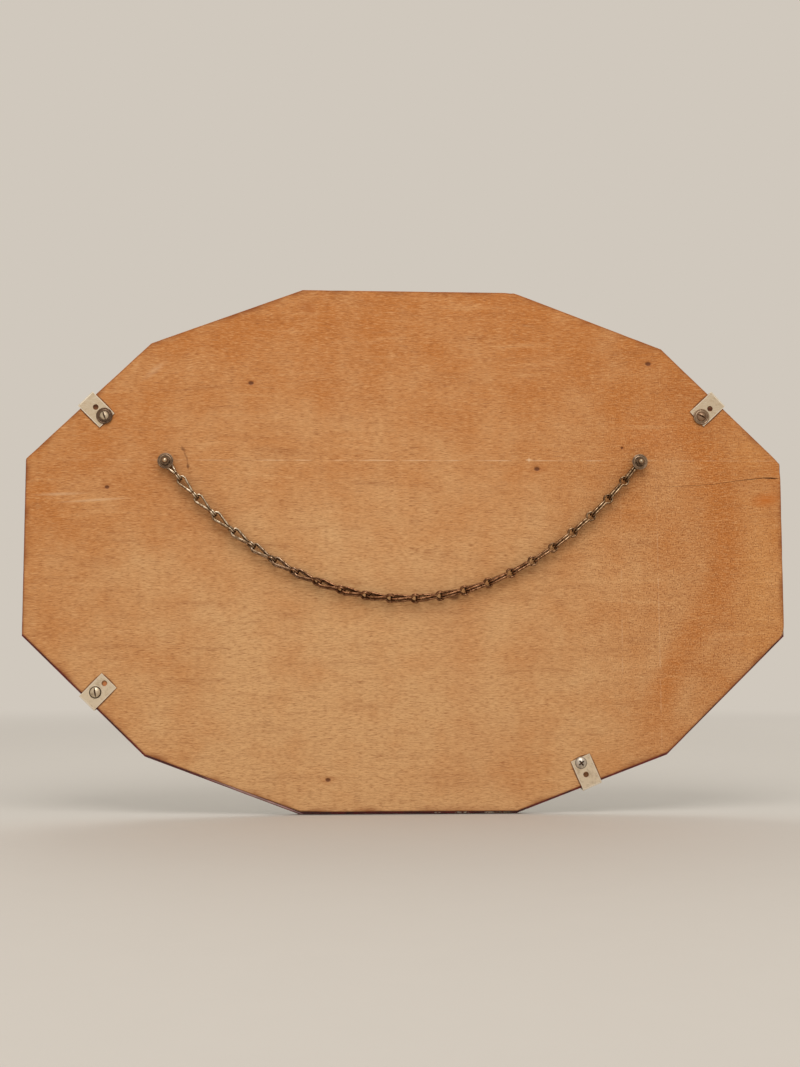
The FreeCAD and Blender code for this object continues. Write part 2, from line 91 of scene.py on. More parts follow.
camera = make_camera()
CAMERA_TURN = camera.rotation_quaternion.to_matrix()


def on_back(pixel, depth=0.0):
    """Point of the plywood's back plane that a pixel of the photograph shows, as (x, z)."""
    across = (pixel[0] - IMAGE_WIDTH / 2) / FOCAL_PIXELS
    up = (IMAGE_HEIGHT / 2 - pixel[1]) / FOCAL_PIXELS
    ray = CAMERA_TURN @ Vector((across, up, -1.0))
    point = CAMERA_PLACE + ray * ((depth - CAMERA_PLACE.y) / ray.y)
    return Vector((point.x, point.z))


# Shader helper

# Depth of a mask along Y, so that it holds through the whole plate
FAR = 1000.0


def tone(red, green, blue):
    """Linear colour of a tone written as it looks, from 0 to 255."""
    def linear(value):
        share = value / 255
        return share / 12.92 if share <= 0.04045 else ((share + 0.055) / 1.055) ** 2.4
    return (linear(red), linear(green), linear(blue), 1.0)


class Shader:
    """One material and short calls that add its nodes."""

    def __init__(self, name):
        self.material = bpy.data.materials.new(name)
        self.material.use_nodes = True
        self.tree = self.material.node_tree
        self.tree.nodes.clear()
        self.output = self.add("ShaderNodeOutputMaterial")
        self.coords = self.add("ShaderNodeTexCoord").outputs["Object"]

    def add(self, kind, **settings):
        node = self.tree.nodes.new(kind)
        for name, value in settings.items():
            setattr(node, name, value)
        return node

    def feed(self, socket, value):
        if isinstance(value, bpy.types.NodeSocket):
            self.tree.links.new(value, socket)
        else:
            socket.default_value = value

    def math(self, operation, first, second=0.0, clamp=False):
        node = self.add("ShaderNodeMath", operation=operation, use_clamp=clamp)
        self.feed(node.inputs[0], first)
        self.feed(node.inputs[1], second)
        return node.outputs[0]

    def split(self, vector):
        node = self.add("ShaderNodeSeparateXYZ")
        self.feed(node.inputs[0], vector)
        return node.outputs

    def join(self, x, y, z):
        node = self.add("ShaderNodeCombineXYZ")
        for socket, value in zip(node.inputs, (x, y, z)):
            self.feed(socket, value)
        return node.outputs[0]

    def fed(self, node, **values):
        """First output of a node whose sockets are fed, spaces in their names written as underscores."""
        for name, value in values.items():
            self.feed(node.inputs[name.replace("_", " ")], value)
        return node.outputs[0]

    def noise(self, vector, scale=1.0, detail=2.0, roughness=0.5, distortion=0.0):
        return self.fed(self.add("ShaderNodeTexNoise"), Vector=vector, Scale=scale, Detail=detail,
                        Roughness=roughness, Distortion=distortion)

    def stretched(self, lengths, vector=None):
        """Coordinates counted in steps of the given lengths along X, Y and Z."""
        return self.fed(self.add("ShaderNodeMapping", vector_type="POINT"),
                        Vector=self.coords if vector is None else vector,
                        Scale=[1 / length for length in lengths])

    def ramp(self, value, low, high, to_low=0.0, to_high=1.0):
        """Smooth step of a value between two limits."""
        return self.fed(self.add("ShaderNodeMapRange", interpolation_type="SMOOTHSTEP"), Value=value,
                        From_Min=low, From_Max=high, To_Min=to_low, To_Max=to_high)

    def spot(self, centre, half_x, half_z, angle=0.0, soft=0.5):
        """Mask of an ellipse on the back plane, turned by an angle in degrees."""
        place = self.fed(self.add("ShaderNodeMapping", vector_type="TEXTURE"), Vector=self.coords,
                         Location=(centre[0], 0.0, centre[1]),
                         Rotation=(0.0, math.radians(angle), 0.0),
                         Scale=(half_x, FAR, half_z))
        return self.ramp(self.length(place), 1 + soft, 1 - soft)

    def length(self, vector):
        node = self.add("ShaderNodeVectorMath", operation="LENGTH")
        self.feed(node.inputs[0], vector)
        return node.outputs["Value"]

    def mix(self, factor, first, second):
        """Mix of two colours, through the node's colour sockets."""
        node = self.add("ShaderNodeMix", data_type="RGBA")
        self.feed(node.inputs[0], factor)
        self.feed(node.inputs[6], first)
        self.feed(node.inputs[7], second)
        return node.outputs[2]

    def lay(self, colour, mask, strength, tint):
        """Colour with a tint laid over it where a mask holds."""
        return self.mix(self.math("MULTIPLY", mask, strength), colour, tint)

    def bump(self, height, strength, distance):
        return self.fed(self.add("ShaderNodeBump"), Strength=strength, Distance=distance, Height=height)

    def finish(self, **sockets):
        """Principled surface with the given sockets."""
        surface = self.fed(self.add("ShaderNodeBsdfPrincipled"), **sockets)
        self.tree.links.new(surface, self.output.inputs["Surface"])
        return self.material


# Outlines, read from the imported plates

SAME_LEVEL = 1e-5
STRAIGHT_ON = 1e-9


def twice_area(a, b, c):
    """Twice the area of a triangle, positive where its corners run anticlockwise."""
    return (b[0] - a[0]) * (c[1] - a[1]) - (b[1] - a[1]) * (c[0] - a[0])


def half_hull(points):
    """One half of the hull of points that are sorted along X, without its last corner."""
    hull = []
    for point in points:
        while len(hull) > 1 and twice_area(hull[-2], hull[-1], point) <= STRAIGHT_ON:
            hull.pop()
        hull.append(point)
    return hull[:-1]


def corner_loop(node, level):
    """Corners of a node's outline at one height along Y, as (x, z) in order round the plate."""
    points = [v.co for v in nodes[node].data.vertices if abs(v.co.y - level) < SAME_LEVEL]
    points = sorted({(round(p.x, 6), round(p.z, 6)) for p in points})
    return [Vector(p) for p in half_hull(points) + half_hull(points[::-1])]


def fine_loop(corners, step):
    """Points along a closed outline, about one step apart, with each point's outward direction."""
    points = []
    count = len(corners)
    for i, start in enumerate(corners):
        end = corners[(i + 1) % count]
        along = (end - start).normalized()
        outward = Vector((along.y, -along.x))
        before = (start - corners[i - 1]).normalized()
        corner_out = (outward + Vector((before.y, -before.x))).normalized()
        parts = max(1, round((end - start).length / step))
        for k in range(parts):
            direction = corner_out if k == 0 else outward
            points.append((start.lerp(end, k / parts), direction))
    return points


def rough(point, size, seed):
    """Smooth noise from -1 to 1 at a point of the plane."""
    return noise.noise(Vector((point.x / size, point.y / size, seed)))


def new_piece(name, bm, body, replaced):
    """Object made from a bmesh, riding on a body and standing for CAD nodes."""
    mesh = bpy.data.meshes.new(name)
    bmesh.ops.recalc_face_normals(bm, faces=bm.faces)
    bm.to_mesh(mesh)
    bm.free()
    piece = bpy.data.objects.new(name, mesh)
    bpy.context.collection.objects.link(piece)
    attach(piece, body)
    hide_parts(*replaced)
    return piece


def skin(bm, lower, upper, material=0):
    """Quads between two closed rings of the same count."""
    count = len(lower)
    for i in range(count):
        k = (i + 1) % count
        face = bm.faces.new((lower[i], lower[k], upper[k], upper[i]))
        face.material_index = material


def ring(bm, points, level):
    """New vertices at points of the plane, all at one height along Y."""
    return [bm.verts.new((p.x, level, p.y)) for p in points]


# Stage, light and world

PALE_WALL = tone(208, 200, 189)
PALE_FLOOR = tone(182, 175, 165)
FLOOR_HALF = 6.0
FLOOR_FADE = (0.9, 2.4)
FLOOR_GRAIN = 40.0
FLOOR_GRAIN_SHARE = 0.06
FLOOR_ROUGHNESS = 0.8
SKY_TINT = (1.0, 0.985, 0.96, 1.0)
SKY_LEVEL = 0.85


def seen_ray(tree):
    """1 for rays from the camera and for those that mirrors and glass send on, else 0."""
    path = tree.nodes.new("ShaderNodeLightPath")
    seen = path.outputs["Is Camera Ray"]
    for name in ("Is Glossy Ray", "Is Transmission Ray"):
        either = tree.nodes.new("ShaderNodeMath")
        either.operation = "MAXIMUM"
        tree.links.new(seen, either.inputs[0])
        tree.links.new(path.outputs[name], either.inputs[1])
        seen = either.outputs[0]
    return seen


def floor_material():
    """Pale floor that takes shadows near the object and runs into the background far from it."""
    s = Shader("pale_floor")
    grain = s.noise(s.coords, FLOOR_GRAIN, detail=3.0)
    colour = s.lay(PALE_FLOOR, grain, FLOOR_GRAIN_SHARE, PALE_WALL)
    s.finish(Base_Color=colour, Roughness=FLOOR_ROUGHNESS)
    near = s.output.inputs["Surface"].links[0].from_socket
    far = s.add("ShaderNodeEmission")
    far.inputs["Color"].default_value = PALE_WALL
    x, y, _ = s.split(s.coords)
    away = s.length(s.join(x, y, 0.0))
    fade = s.math("MULTIPLY", s.ramp(away, *FLOOR_FADE), seen_ray(s.tree))
    blend = s.add("ShaderNodeMixShader")
    s.feed(blend.inputs[0], fade)
    s.feed(blend.inputs[1], near)
    s.feed(blend.inputs[2], far.outputs[0])
    s.feed(s.output.inputs["Surface"], blend.outputs[0])
    return s.material


def make_floor():
    """Floor at the height of the mirror's lowest edge."""
    level = cad_box[0].z
    bm = bmesh.new()
    corners = ((-1, -1), (1, -1), (1, 1), (-1, 1))
    bm.faces.new([bm.verts.new((x * FLOOR_HALF, y * FLOOR_HALF, level)) for x, y in corners])
    mesh = bpy.data.meshes.new("floor")
    bm.to_mesh(mesh)
    bm.free()
    floor = bpy.data.objects.new("floor", mesh)
    bpy.context.collection.objects.link(floor)
    mesh.materials.append(floor_material())


def background(tree, colour, level):
    node = tree.nodes.new("ShaderNodeBackground")
    node.inputs["Color"].default_value = colour
    node.inputs["Strength"].default_value = level
    return node.outputs[0]


def make_world():
    """Even light from all round, with a plain pale background in sight."""
    world = bpy.data.worlds.new("studio")
    bpy.context.scene.world = world
    world.use_nodes = True
    tree = world.node_tree
    tree.nodes.clear()
    output = tree.nodes.new("ShaderNodeOutputWorld")
    mixed = tree.nodes.new("ShaderNodeMixShader")
    tree.links.new(seen_ray(tree), mixed.inputs[0])
    tree.links.new(background(tree, SKY_TINT, SKY_LEVEL), mixed.inputs[1])
    tree.links.new(background(tree, PALE_WALL, 1.0), mixed.inputs[2])
    tree.links.new(mixed.outputs[0], output.inputs["Surface"])


# Each lamp: name, place, size across in metres, power in watts
LAMPS = (
    ("back_key", (0.05, 1.10, 1.50), 1.3, 17.0),
    ("front_key", (0.4, -1.2, 1.4), 1.0, 6.0),
    ("front_fill", (-1.2, -1.2, 0.4), 1.2, 2.0),
)


def make_lamps():
    """Round area lamps that face the middle of the mirror."""
    for name, place, size, power in LAMPS:
        data = bpy.data.lights.new(name, "AREA")
        data.shape = "DISK"
        data.size = size
        data.energy = power
        lamp = bpy.data.objects.new(name, data)
        lamp.location = place
        lamp.rotation_mode = "QUATERNION"
        lamp.rotation_quaternion = (-Vector(place)).to_track_quat("-Z", "Y")
        bpy.context.collection.objects.link(lamp)


# Plywood back

BOARD_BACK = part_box("backing_board")[1].y
BOARD_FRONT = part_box("backing_board")[0].y
BOARD_STEP = 1.5 * MM
EDGE_ROUND = 0.45 * MM
EDGE_WEAR = 0.35 * MM
WEAR_LENGTH = 14 * MM
WEAR_SEED = 3.0
RAGGED_DEPTH = 0.08 * MM
RAGGED_LENGTH = 1.6 * MM
RAGGED_SEED = 7.0
TRIANGLES_INSIDE = 1
JOIN_DISTANCE = 1e-7

# Shares of the wear by which the edge's side stands back and by which its rounding reaches down
SIDE_SHARE = 0.35
DOWN_SHARE = 0.9

# Each chip of the edge: pixel, reach along the edge and depth into the board in millimetres
EDGE_CHIPS = (
    ((773, 648), 8.0, 1.3),
    ((784, 634), 5.0, 1.7),
    ((511, 292), 5.0, 0.8),
    ((779, 468), 8.0, 1.2),
    ((60, 672), 9.0, 0.6),
    ((131, 744), 8.0, 0.7),
    ((288, 808), 30.0, 1.3),
    ((400, 812), 70.0, 0.35),
    ((668, 758), 6.0, 0.8),
)
CHIP_FALL = 2

# Each pin knot or old nail hole: pixel, half-width across and upright, depth in millimetres
KNOTS = (
    ((251, 383), 2.4, 1.7, 0.5),
    ((107, 487), 2.0, 1.5, 0.4),
    ((537, 469), 2.5, 1.8, 0.5),
    ((648, 364), 2.6, 1.8, 0.5),
    ((328, 780), 2.2, 1.6, 0.5),
    ((622, 448), 1.1, 1.0, 0.5),
)
KNOT_SIDES = 20
KNOT_UNEVEN = 0.16
KNOT_NOISE_REACH = 0.3
KNOT_NOISE_SIZE = 0.4

# Rings of a knot's hollow: shares of its half-widths and of its depth
KNOT_RINGS = ((1.25, 0.0), (0.9, 0.45), (0.4, 1.0))

# Split that runs in from the right edge: pixels along it and half-widths in millimetres
SPLIT = (
    ((776, 478.5), 0.55),
    ((764, 478), 0.32),
    ((740, 480.5), 0.16),
    ((712, 484.5), 0.14),
    ((668, 487), 0.05),
)
SPLIT_FULL_HALF = 0.32
SPLIT_DEPTH = 0.9 * MM


def chip_depth(point):
    """How far the chips of the edge reach into the board at a point of its outline."""
    deepest = 0.0
    for pixel, reach, depth in EDGE_CHIPS:
        away = (point - on_back(pixel)).length / (reach * MM)
        deepest = max(deepest, depth * MM * math.exp(-away * away * CHIP_FALL))
    return deepest


def make_board():
    """Plywood sheet with a worn and chipped edge, knots and the split."""
    loop = fine_loop(corner_loop("backing_board", BOARD_BACK), BOARD_STEP)
    back = []
    outer = []
    levels = []
    for point, outward in loop:
        wear = EDGE_WEAR * max(0.0, rough(point, WEAR_LENGTH, WEAR_SEED)) + chip_depth(point)
        ragged = RAGGED_DEPTH * rough(point, RAGGED_LENGTH, RAGGED_SEED)
        back.append(point - outward * (EDGE_ROUND + wear + ragged))
        outer.append(point - outward * wear * SIDE_SHARE)
        levels.append(BOARD_BACK - EDGE_ROUND - wear * DOWN_SHARE)
    places = list(back)
    depths = [BOARD_BACK] * len(back)
    edges = [(i, (i + 1) % len(back)) for i in range(len(back))]
    for knot in KNOTS:
        add_knot(places, depths, edges, knot)
    add_split(places, depths, edges)

    bm = bmesh.new()
    verts, _, faces, origins = delaunay_2d_cdt(
        places, edges, [], TRIANGLES_INSIDE, JOIN_DISTANCE, True)[:4]
    made = []
    for point, sources in zip(verts, origins):
        level = depths[sources[0]] if sources else BOARD_BACK
        made.append(bm.verts.new((point.x, level, point.y)))
    for face in faces:
        bm.faces.new([made[i] for i in face])
    where = {sources[0]: made[i] for i, sources in enumerate(origins) if sources}
    back_ring = [where[i] for i in range(len(back))]
    outer_ring = [bm.verts.new((p.x, level, p.y)) for p, level in zip(outer, levels)]
    front_ring = ring(bm, outer, BOARD_FRONT)
    skin(bm, back_ring, outer_ring)
    skin(bm, outer_ring, front_ring)
    bm.faces.new(front_ring)
    board = new_piece("plywood_back", bm, ROOT, ["backing_board"])
    board.data.materials.append(plywood_material())


def add_knot(places, depths, edges, knot):
    """Rings of a knot's hollow, for the triangulation of the back."""
    pixel, half_x, half_z, depth = knot
    centre = on_back(pixel)
    for share, level in KNOT_RINGS:
        first = len(places)
        for k in range(KNOT_SIDES):
            angle = 2 * math.pi * k / KNOT_SIDES
            to_x = math.cos(angle)
            to_z = math.sin(angle)
            there = centre + Vector((to_x, to_z)) * KNOT_NOISE_REACH
            reach = share * (1 + KNOT_UNEVEN * rough(there, KNOT_NOISE_SIZE, depth))
            places.append(centre + Vector((half_x * to_x, half_z * to_z)) * MM * reach)
            depths.append(BOARD_BACK - depth * MM * level)
            edges.append((first + k, first + (k + 1) % KNOT_SIDES))


def add_split(places, depths, edges):
    """V-shaped groove along the split, for the triangulation of the back."""
    middle = [on_back(pixel) for pixel, _ in SPLIT]
    rows = []
    for side in (-1, 0, 1):
        first = len(places)
        for i, (_, half) in enumerate(SPLIT):
            ahead = middle[min(i + 1, len(middle) - 1)] - middle[max(i - 1, 0)]
            across = Vector((-ahead.y, ahead.x)).normalized()
            places.append(middle[i] + across * side * half * MM)
            open_share = min(1.0, half / SPLIT_FULL_HALF)
            depths.append(BOARD_BACK if side else BOARD_BACK - SPLIT_DEPTH * open_share)
        rows.append(first)
        edges.extend((first + i, first + i + 1) for i in range(len(SPLIT) - 1))
    edges.extend([(rows[0], rows[1]), (rows[1], rows[2])])


# Plywood material

ORANGE_WOOD = tone(187, 115, 52)
PALE_WOOD = tone(208, 159, 107)
RED_WOOD = tone(182, 108, 50)
DARK_FIBRE = tone(140, 78, 34)
PALE_FIBRE = tone(228, 178, 122)
KNOT_BROWN = tone(92, 45, 20)
HOLE_BROWN = tone(70, 32, 16)
SPLIT_BROWN = tone(80, 42, 20)
STAIN_BROWN = tone(166, 94, 38)
BAND_ORANGE = tone(186, 105, 30)
PATCH_ORANGE = tone(188, 104, 34)
HOLE_WOOD = tone(198, 122, 70)
SIDE_PALE = tone(210, 148, 84)
EDGE_BROWN = tone(128, 66, 26)
SCUFF_PALE = tone(226, 190, 150)
PLY_DARK = tone(140, 92, 54)
PLY_PALE = tone(205, 160, 108)

# The grain's fibres sway along Z: steps of the sway and its height, in metres
SWAY_LENGTHS = (0.09, 1.0, 0.05)
SWAY_HEIGHT = 0.012

# Each noise of the grain: steps along X, Y and Z in metres, detail, roughness, distortion
GRAIN_NOISES = {
    "fibre": ((0.0090, 0.02, 0.0011), 2.0, 0.55, 0.0),
    "fine": ((0.0040, 0.01, 0.0005), 2.0, 0.6, 0.0),
    "vessel": ((0.0115, 0.02, 0.0005), 1.0, 0.5, 0.2),
    "fleck": ((0.0100, 0.02, 0.0008), 1.0, 0.5, 0.0),
    "figure": ((0.07, 0.5, 0.006), 3.0, 0.55, 0.0),
}

# Each pass of the grain over the wood: noise, limits of its ramp, strength, tone
GRAIN_PASSES = (
    ("figure", 0.52, 0.80, 0.35, DARK_FIBRE),
    ("figure", 0.46, 0.22, 0.30, PALE_FIBRE),
    ("fibre", 0.50, 0.74, 0.34, DARK_FIBRE),
    ("fibre", 0.48, 0.26, 0.28, PALE_FIBRE),
    ("fine", 0.50, 0.70, 0.60, DARK_FIBRE),
    ("fine", 0.48, 0.30, 0.42, PALE_FIBRE),
    ("vessel", 0.58, 0.74, 0.50, EDGE_BROWN),
    ("fleck", 0.40, 0.26, 0.32, PALE_FIBRE),
)

# Pale wood low in the middle: pixel, half-sizes in metres, softness and how patchy it is
LIGHT_PATCH = (360, 735)
LIGHT_HALF = (0.26, 0.22)
LIGHT_SOFT = 0.9
LIGHT_PATCHY = 1.3
MOTTLE_SCALE = 26.0
REDDISH_SCALE = 9.0
REDDISH_STRENGTH = 0.25

# Patch of dots in the right half: pixel, half-sizes in metres, lean in degrees, softness and scale
SPECKLED_PATCH = (700, 590)
SPECKLED_HALF = (0.10, 0.17)
SPECKLED_LEAN = 18.0
SPECKLED_SOFT = 0.8
DOT_SCALE = 900.0

# Dark and pale dots: limits of the ramp, strength, tone
DOT_PASSES = (
    (0.53, 0.67, 0.78, EDGE_BROWN),
    (0.44, 0.32, 0.50, PALE_FIBRE),
)

# Each stain or rub: pixel, half-size across and upright in millimetres, angle, softness, tone, strength
STAINS = (
    ((765, 500), 9.0, 4.5, 10.0, 0.9, PATCH_ORANGE, 0.85),
    ((455, 597), 3.6, 2.2, 10.0, 0.6, KNOT_BROWN, 0.7),
    ((307, 307), 6.0, 4.0, -35.0, 0.7, STAIN_BROWN, 0.65),
    ((188, 466), 1.2, 1.5, 0.0, 0.6, KNOT_BROWN, 0.75),
    ((183, 449), 1.9, 1.2, -30.0, 0.6, KNOT_BROWN, 0.6),
    ((155, 370), 8.0, 2.0, 40.0, 1.0, SCUFF_PALE, 0.25),
    ((95, 500), 20.0, 0.8, 4.0, 1.0, SCUFF_PALE, 0.4),
    ((60, 494), 14.0, 1.0, 2.0, 1.0, SCUFF_PALE, 0.4),
    ((529, 460), 2.2, 0.5, 0.0, 0.8, SCUFF_PALE, 0.8),
    ((529, 460), 0.5, 1.8, 0.0, 0.8, SCUFF_PALE, 0.6),
    ((96.3, 407.4), 2.9, 2.9, 0.0, 0.15, HOLE_BROWN, 0.95),
    ((710.2, 409.1), 2.9, 2.9, 0.0, 0.15, HOLE_BROWN, 0.95),
    ((586.4, 775.2), 2.8, 2.6, 0.0, 0.2, HOLE_BROWN, 0.95),
    ((104.9, 683.6), 2.9, 2.9, 0.0, 0.15, HOLE_BROWN, 0.75),
    ((104.9, 683.9), 1.6, 1.6, 0.0, 0.35, HOLE_WOOD, 0.95),
)

# Each broad tint under the grain, given as the stains are
BROAD_TINTS = (
    ((760, 580), 16.0, 62.0, 0.0, 1.0, SIDE_PALE, 0.55),
    ((752, 452), 18.0, 12.0, 0.0, 1.0, SIDE_PALE, 0.40),
    ((690, 400), 26.0, 12.0, -35.0, 1.0, STAIN_BROWN, 0.40),
    ((655, 436), 24.0, 14.0, 0.0, 1.0, PATCH_ORANGE, 0.45),
)

# Stain that bends down the right half: pixels along it, half-width in millimetres, softness, strength
STAIN_BAND = (
    (690, 425), (708, 462), (722, 500), (731, 535), (728, 570),
    (714, 602), (694, 634), (674, 664), (660, 694), (652, 722),
)
BAND_HALF = 10.0
BAND_SOFT = 0.95
BAND_STRENGTH = 0.75

# Each scratch or pencil line: pixels of its ends, half-width in millimetres, tone, strength
SCRATCHES = (
    ((190, 460), (712, 461), 0.35, SCUFF_PALE, 0.55),
    ((183, 449), (187, 459), 0.6, KNOT_BROWN, 0.8),
    ((187, 457), (188, 467), 0.6, KNOT_BROWN, 0.8),
    ((657, 522), (662, 748), 0.40, SCUFF_PALE, 0.32),
    ((621, 520), (623, 715), 0.35, SCUFF_PALE, 0.22),
)

# Painted shadow round the clips: half-width, share of an edge left clear at each end, softness and
# strength
CLIPS = ("clip_upper_left", "clip_upper_right", "clip_lower_left", "clip_lower_right")
CLIP_SHADOW_HALF = 1.1 * MM
CLIP_SHADOW_CLEAR = 0.08
CLIP_SHADOW_SOFT = 0.35
CLIP_SHADOW_STRENGTH = 0.7

# Dark core of a knot and the stained wood round it: shares of the knot, softness and strength
KNOT_CORE = 0.9
KNOT_CORE_SOFT = 0.35
KNOT_CORE_STRENGTH = 0.85
KNOT_HALO_ACROSS = 2.2
KNOT_HALO_UPRIGHT = 1.8
KNOT_HALO_SOFT = 0.8
KNOT_HALO_STRENGTH = 0.35

# Tone of the split: least half-width in millimetres, softness, and strength that grows with the width
SPLIT_LEAST_HALF = 0.20
SPLIT_SOFT = 0.6
SPLIT_FAINT = 0.25
SPLIT_GROWTH = 1.1
SPLIT_STRONG = 0.85

# Darkened rim of the back: reach of a patchy strip and of an even line in metres, and their strengths
RIM_REACH = (0.0055, 0.0006)
RIM_STRENGTH = 0.75
RIM_PATCH_SCALE = 45.0
LINE_REACH = (0.0016, 0.0005)
LINE_STRENGTH = 0.45

# Plies on the sheet's side: their count, waviness in metres, where they begin and their end grain
PLY_COUNT = 5
PLY_WAVE = 0.0006
PLY_FROM = (-0.0006, -0.0010)
END_GRAIN_LENGTHS = (0.0006, 0.003, 0.0006)
END_GRAIN_STRENGTH = 0.6

# Surface of the wood
WOOD_ROUGHNESS = (0.54, 0.70)
WOOD_SPECULAR = 0.22
WOOD_BUMP = (0.35, 0.0002)
VESSEL_DEPTH = 0.7

# Half-length of a stroke as a share of the distance between its ends
STROKE_SHARE = 0.56


def board_edge_distance(s):
    """Distance of a point of the plate from the board's nearest edge."""
    x, _, z = s.split(s.coords)
    x = s.math("ABSOLUTE", x)
    z = s.math("ABSOLUTE", z)
    quarter = [p for p in corner_loop("backing_board", BOARD_BACK) if p.x > 0 and p.y > 0]
    side, shoulder, top = sorted(quarter, key=lambda p: -p.x)
    beside = s.math("SUBTRACT", side.x, x)
    above = s.math("SUBTRACT", top.y, z)
    nearest = s.math("MINIMUM", beside, above)
    for start, end in ((side, shoulder), (shoulder, top)):
        along = (end - start).normalized()
        inward_x = -along.y
        inward_z = along.x
        reach = start.x * inward_x + start.y * inward_z
        sign = -1.0 if reach > 0 else 1.0
        part_x = s.math("MULTIPLY", x, inward_x)
        part_z = s.math("MULTIPLY", z, inward_z)
        within = s.math("SUBTRACT", s.math("ADD", part_x, part_z), reach)
        away = s.math("MULTIPLY", within, sign)
        nearest = s.math("MINIMUM", nearest, away)
    return nearest


def stroke(s, start, end, half, soft=0.9):
    """Mask of a long thin ellipse between two points of the back plane."""
    lean = -math.degrees(math.atan2(end.y - start.y, end.x - start.x))
    return s.spot((start + end) / 2, (end - start).length * STROKE_SHARE, half, lean, soft)


def leaf_edges(node):
    """Ends of each edge of a clip's flat leaf on the back plane."""
    corners = corner_loop(node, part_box(node)[1].y)
    return list(zip(corners, corners[1:] + corners[:1]))


def grain_noises(s, x, y, z):
    """Noises of the grain, along fibres that sway a little."""
    sway = s.math("SUBTRACT", s.noise(s.stretched(SWAY_LENGTHS)), 0.5)
    flow = s.join(x, y, s.math("ADD", z, s.math("MULTIPLY", sway, SWAY_HEIGHT)))
    noises = {}
    for name, (lengths, detail, roughness, distortion) in GRAIN_NOISES.items():
        noises[name] = s.noise(s.stretched(lengths, flow), 1.0, detail, roughness, distortion)
    return noises


def bare_wood(s, mottle):
    """Wood before its grain: pale low in the middle, orange round it, with tints and the stain band."""
    light = s.spot(on_back(LIGHT_PATCH), *LIGHT_HALF, 0.0, LIGHT_SOFT)
    patchy = s.math("MULTIPLY", s.math("SUBTRACT", mottle, 0.5), LIGHT_PATCHY)
    colour = s.mix(s.math("ADD", light, patchy, True), ORANGE_WOOD, PALE_WOOD)
    reddish = s.ramp(s.noise(s.coords, REDDISH_SCALE), 0.5, 0.75)
    colour = s.lay(colour, reddish, REDDISH_STRENGTH, RED_WOOD)
    for pixel, half_x, half_z, angle, soft, tint, strength in BROAD_TINTS:
        mask = s.spot(on_back(pixel), half_x * MM, half_z * MM, angle, soft)
        colour = s.lay(colour, mask, strength, tint)
    band = 0.0
    bends = [on_back(pixel) for pixel in STAIN_BAND]
    for start, end in zip(bends, bends[2:]):
        band = s.math("MAXIMUM", band, stroke(s, start, end, BAND_HALF * MM, BAND_SOFT))
    band = s.math("MULTIPLY", band, s.ramp(mottle, 0.30, 0.62, 0.35, 1.0))
    return s.lay(colour, band, BAND_STRENGTH, BAND_ORANGE)


def grained(s, colour, grain):
    """Colour under the grain's dark and pale streaks and the dots of the speckled patch."""
    for name, low, high, strength, tint in GRAIN_PASSES:
        colour = s.mix(s.ramp(grain[name], low, high, 0.0, strength), colour, tint)
    dots = s.noise(s.coords, DOT_SCALE, 2.0, 0.6)
    speckled = s.spot(on_back(SPECKLED_PATCH), *SPECKLED_HALF, SPECKLED_LEAN, SPECKLED_SOFT)
    for low, high, strength, tint in DOT_PASSES:
        mask = s.math("MULTIPLY", speckled, s.ramp(dots, low, high, 0.0, strength))
        colour = s.mix(mask, colour, tint)
    return colour


def marked(s, colour, fibre):
    """Colour under stains, painted shadow round the clips, scratches, knots and the split."""
    uneven = s.ramp(fibre, 0.25, 0.6, 0.6, 1.0)
    for pixel, half_x, half_z, angle, soft, stain, strength in STAINS:
        mask = s.spot(on_back(pixel), half_x * MM, half_z * MM, angle, soft)
        colour = s.lay(colour, s.math("MULTIPLY", mask, uneven), strength, stain)

    # Painted shadow: dark lines on the wood along each clip's edges
    for node in CLIPS:
        for start, end in leaf_edges(node):
            first = start.lerp(end, CLIP_SHADOW_CLEAR)
            last = end.lerp(start, CLIP_SHADOW_CLEAR)
            line = stroke(s, first, last, CLIP_SHADOW_HALF, CLIP_SHADOW_SOFT)
            colour = s.lay(colour, line, CLIP_SHADOW_STRENGTH, SPLIT_BROWN)

    broken = s.ramp(s.noise(s.stretched((0.02, 1.0, 0.012)), detail=3.0), 0.38, 0.60)
    for first, last, half, mark, strength in SCRATCHES:
        mask = stroke(s, on_back(first), on_back(last), half * MM)
        colour = s.lay(colour, s.math("MULTIPLY", mask, broken), strength, mark)

    for pixel, half_x, half_z, _ in KNOTS:
        centre = on_back(pixel)
        across = half_x * MM
        upright = half_z * MM
        halo = s.spot(centre, across * KNOT_HALO_ACROSS, upright * KNOT_HALO_UPRIGHT, 0.0, KNOT_HALO_SOFT)
        core = s.spot(centre, across * KNOT_CORE, upright * KNOT_CORE, 0.0, KNOT_CORE_SOFT)
        colour = s.lay(colour, halo, KNOT_HALO_STRENGTH, STAIN_BROWN)
        colour = s.lay(colour, core, KNOT_CORE_STRENGTH, KNOT_BROWN)

    for (pixel, half), (after, _) in zip(SPLIT, SPLIT[1:]):
        crack = stroke(s, on_back(pixel), on_back(after), max(half, SPLIT_LEAST_HALF) * MM, SPLIT_SOFT)
        strength = min(SPLIT_STRONG, SPLIT_FAINT + SPLIT_GROWTH * half)
        colour = s.lay(colour, crack, strength, SPLIT_BROWN)
    return colour


def dark_rimmed(s, colour):
    """Colour that darkens towards the board's edge."""
    edge = board_edge_distance(s)
    patches = s.ramp(s.noise(s.coords, RIM_PATCH_SCALE, 3.0), 0.35, 0.75)
    rim = s.math("MULTIPLY", s.ramp(edge, *RIM_REACH), patches)
    colour = s.lay(colour, rim, RIM_STRENGTH, EDGE_BROWN)
    return s.mix(s.ramp(edge, *LINE_REACH, 0.0, LINE_STRENGTH), colour, EDGE_BROWN)


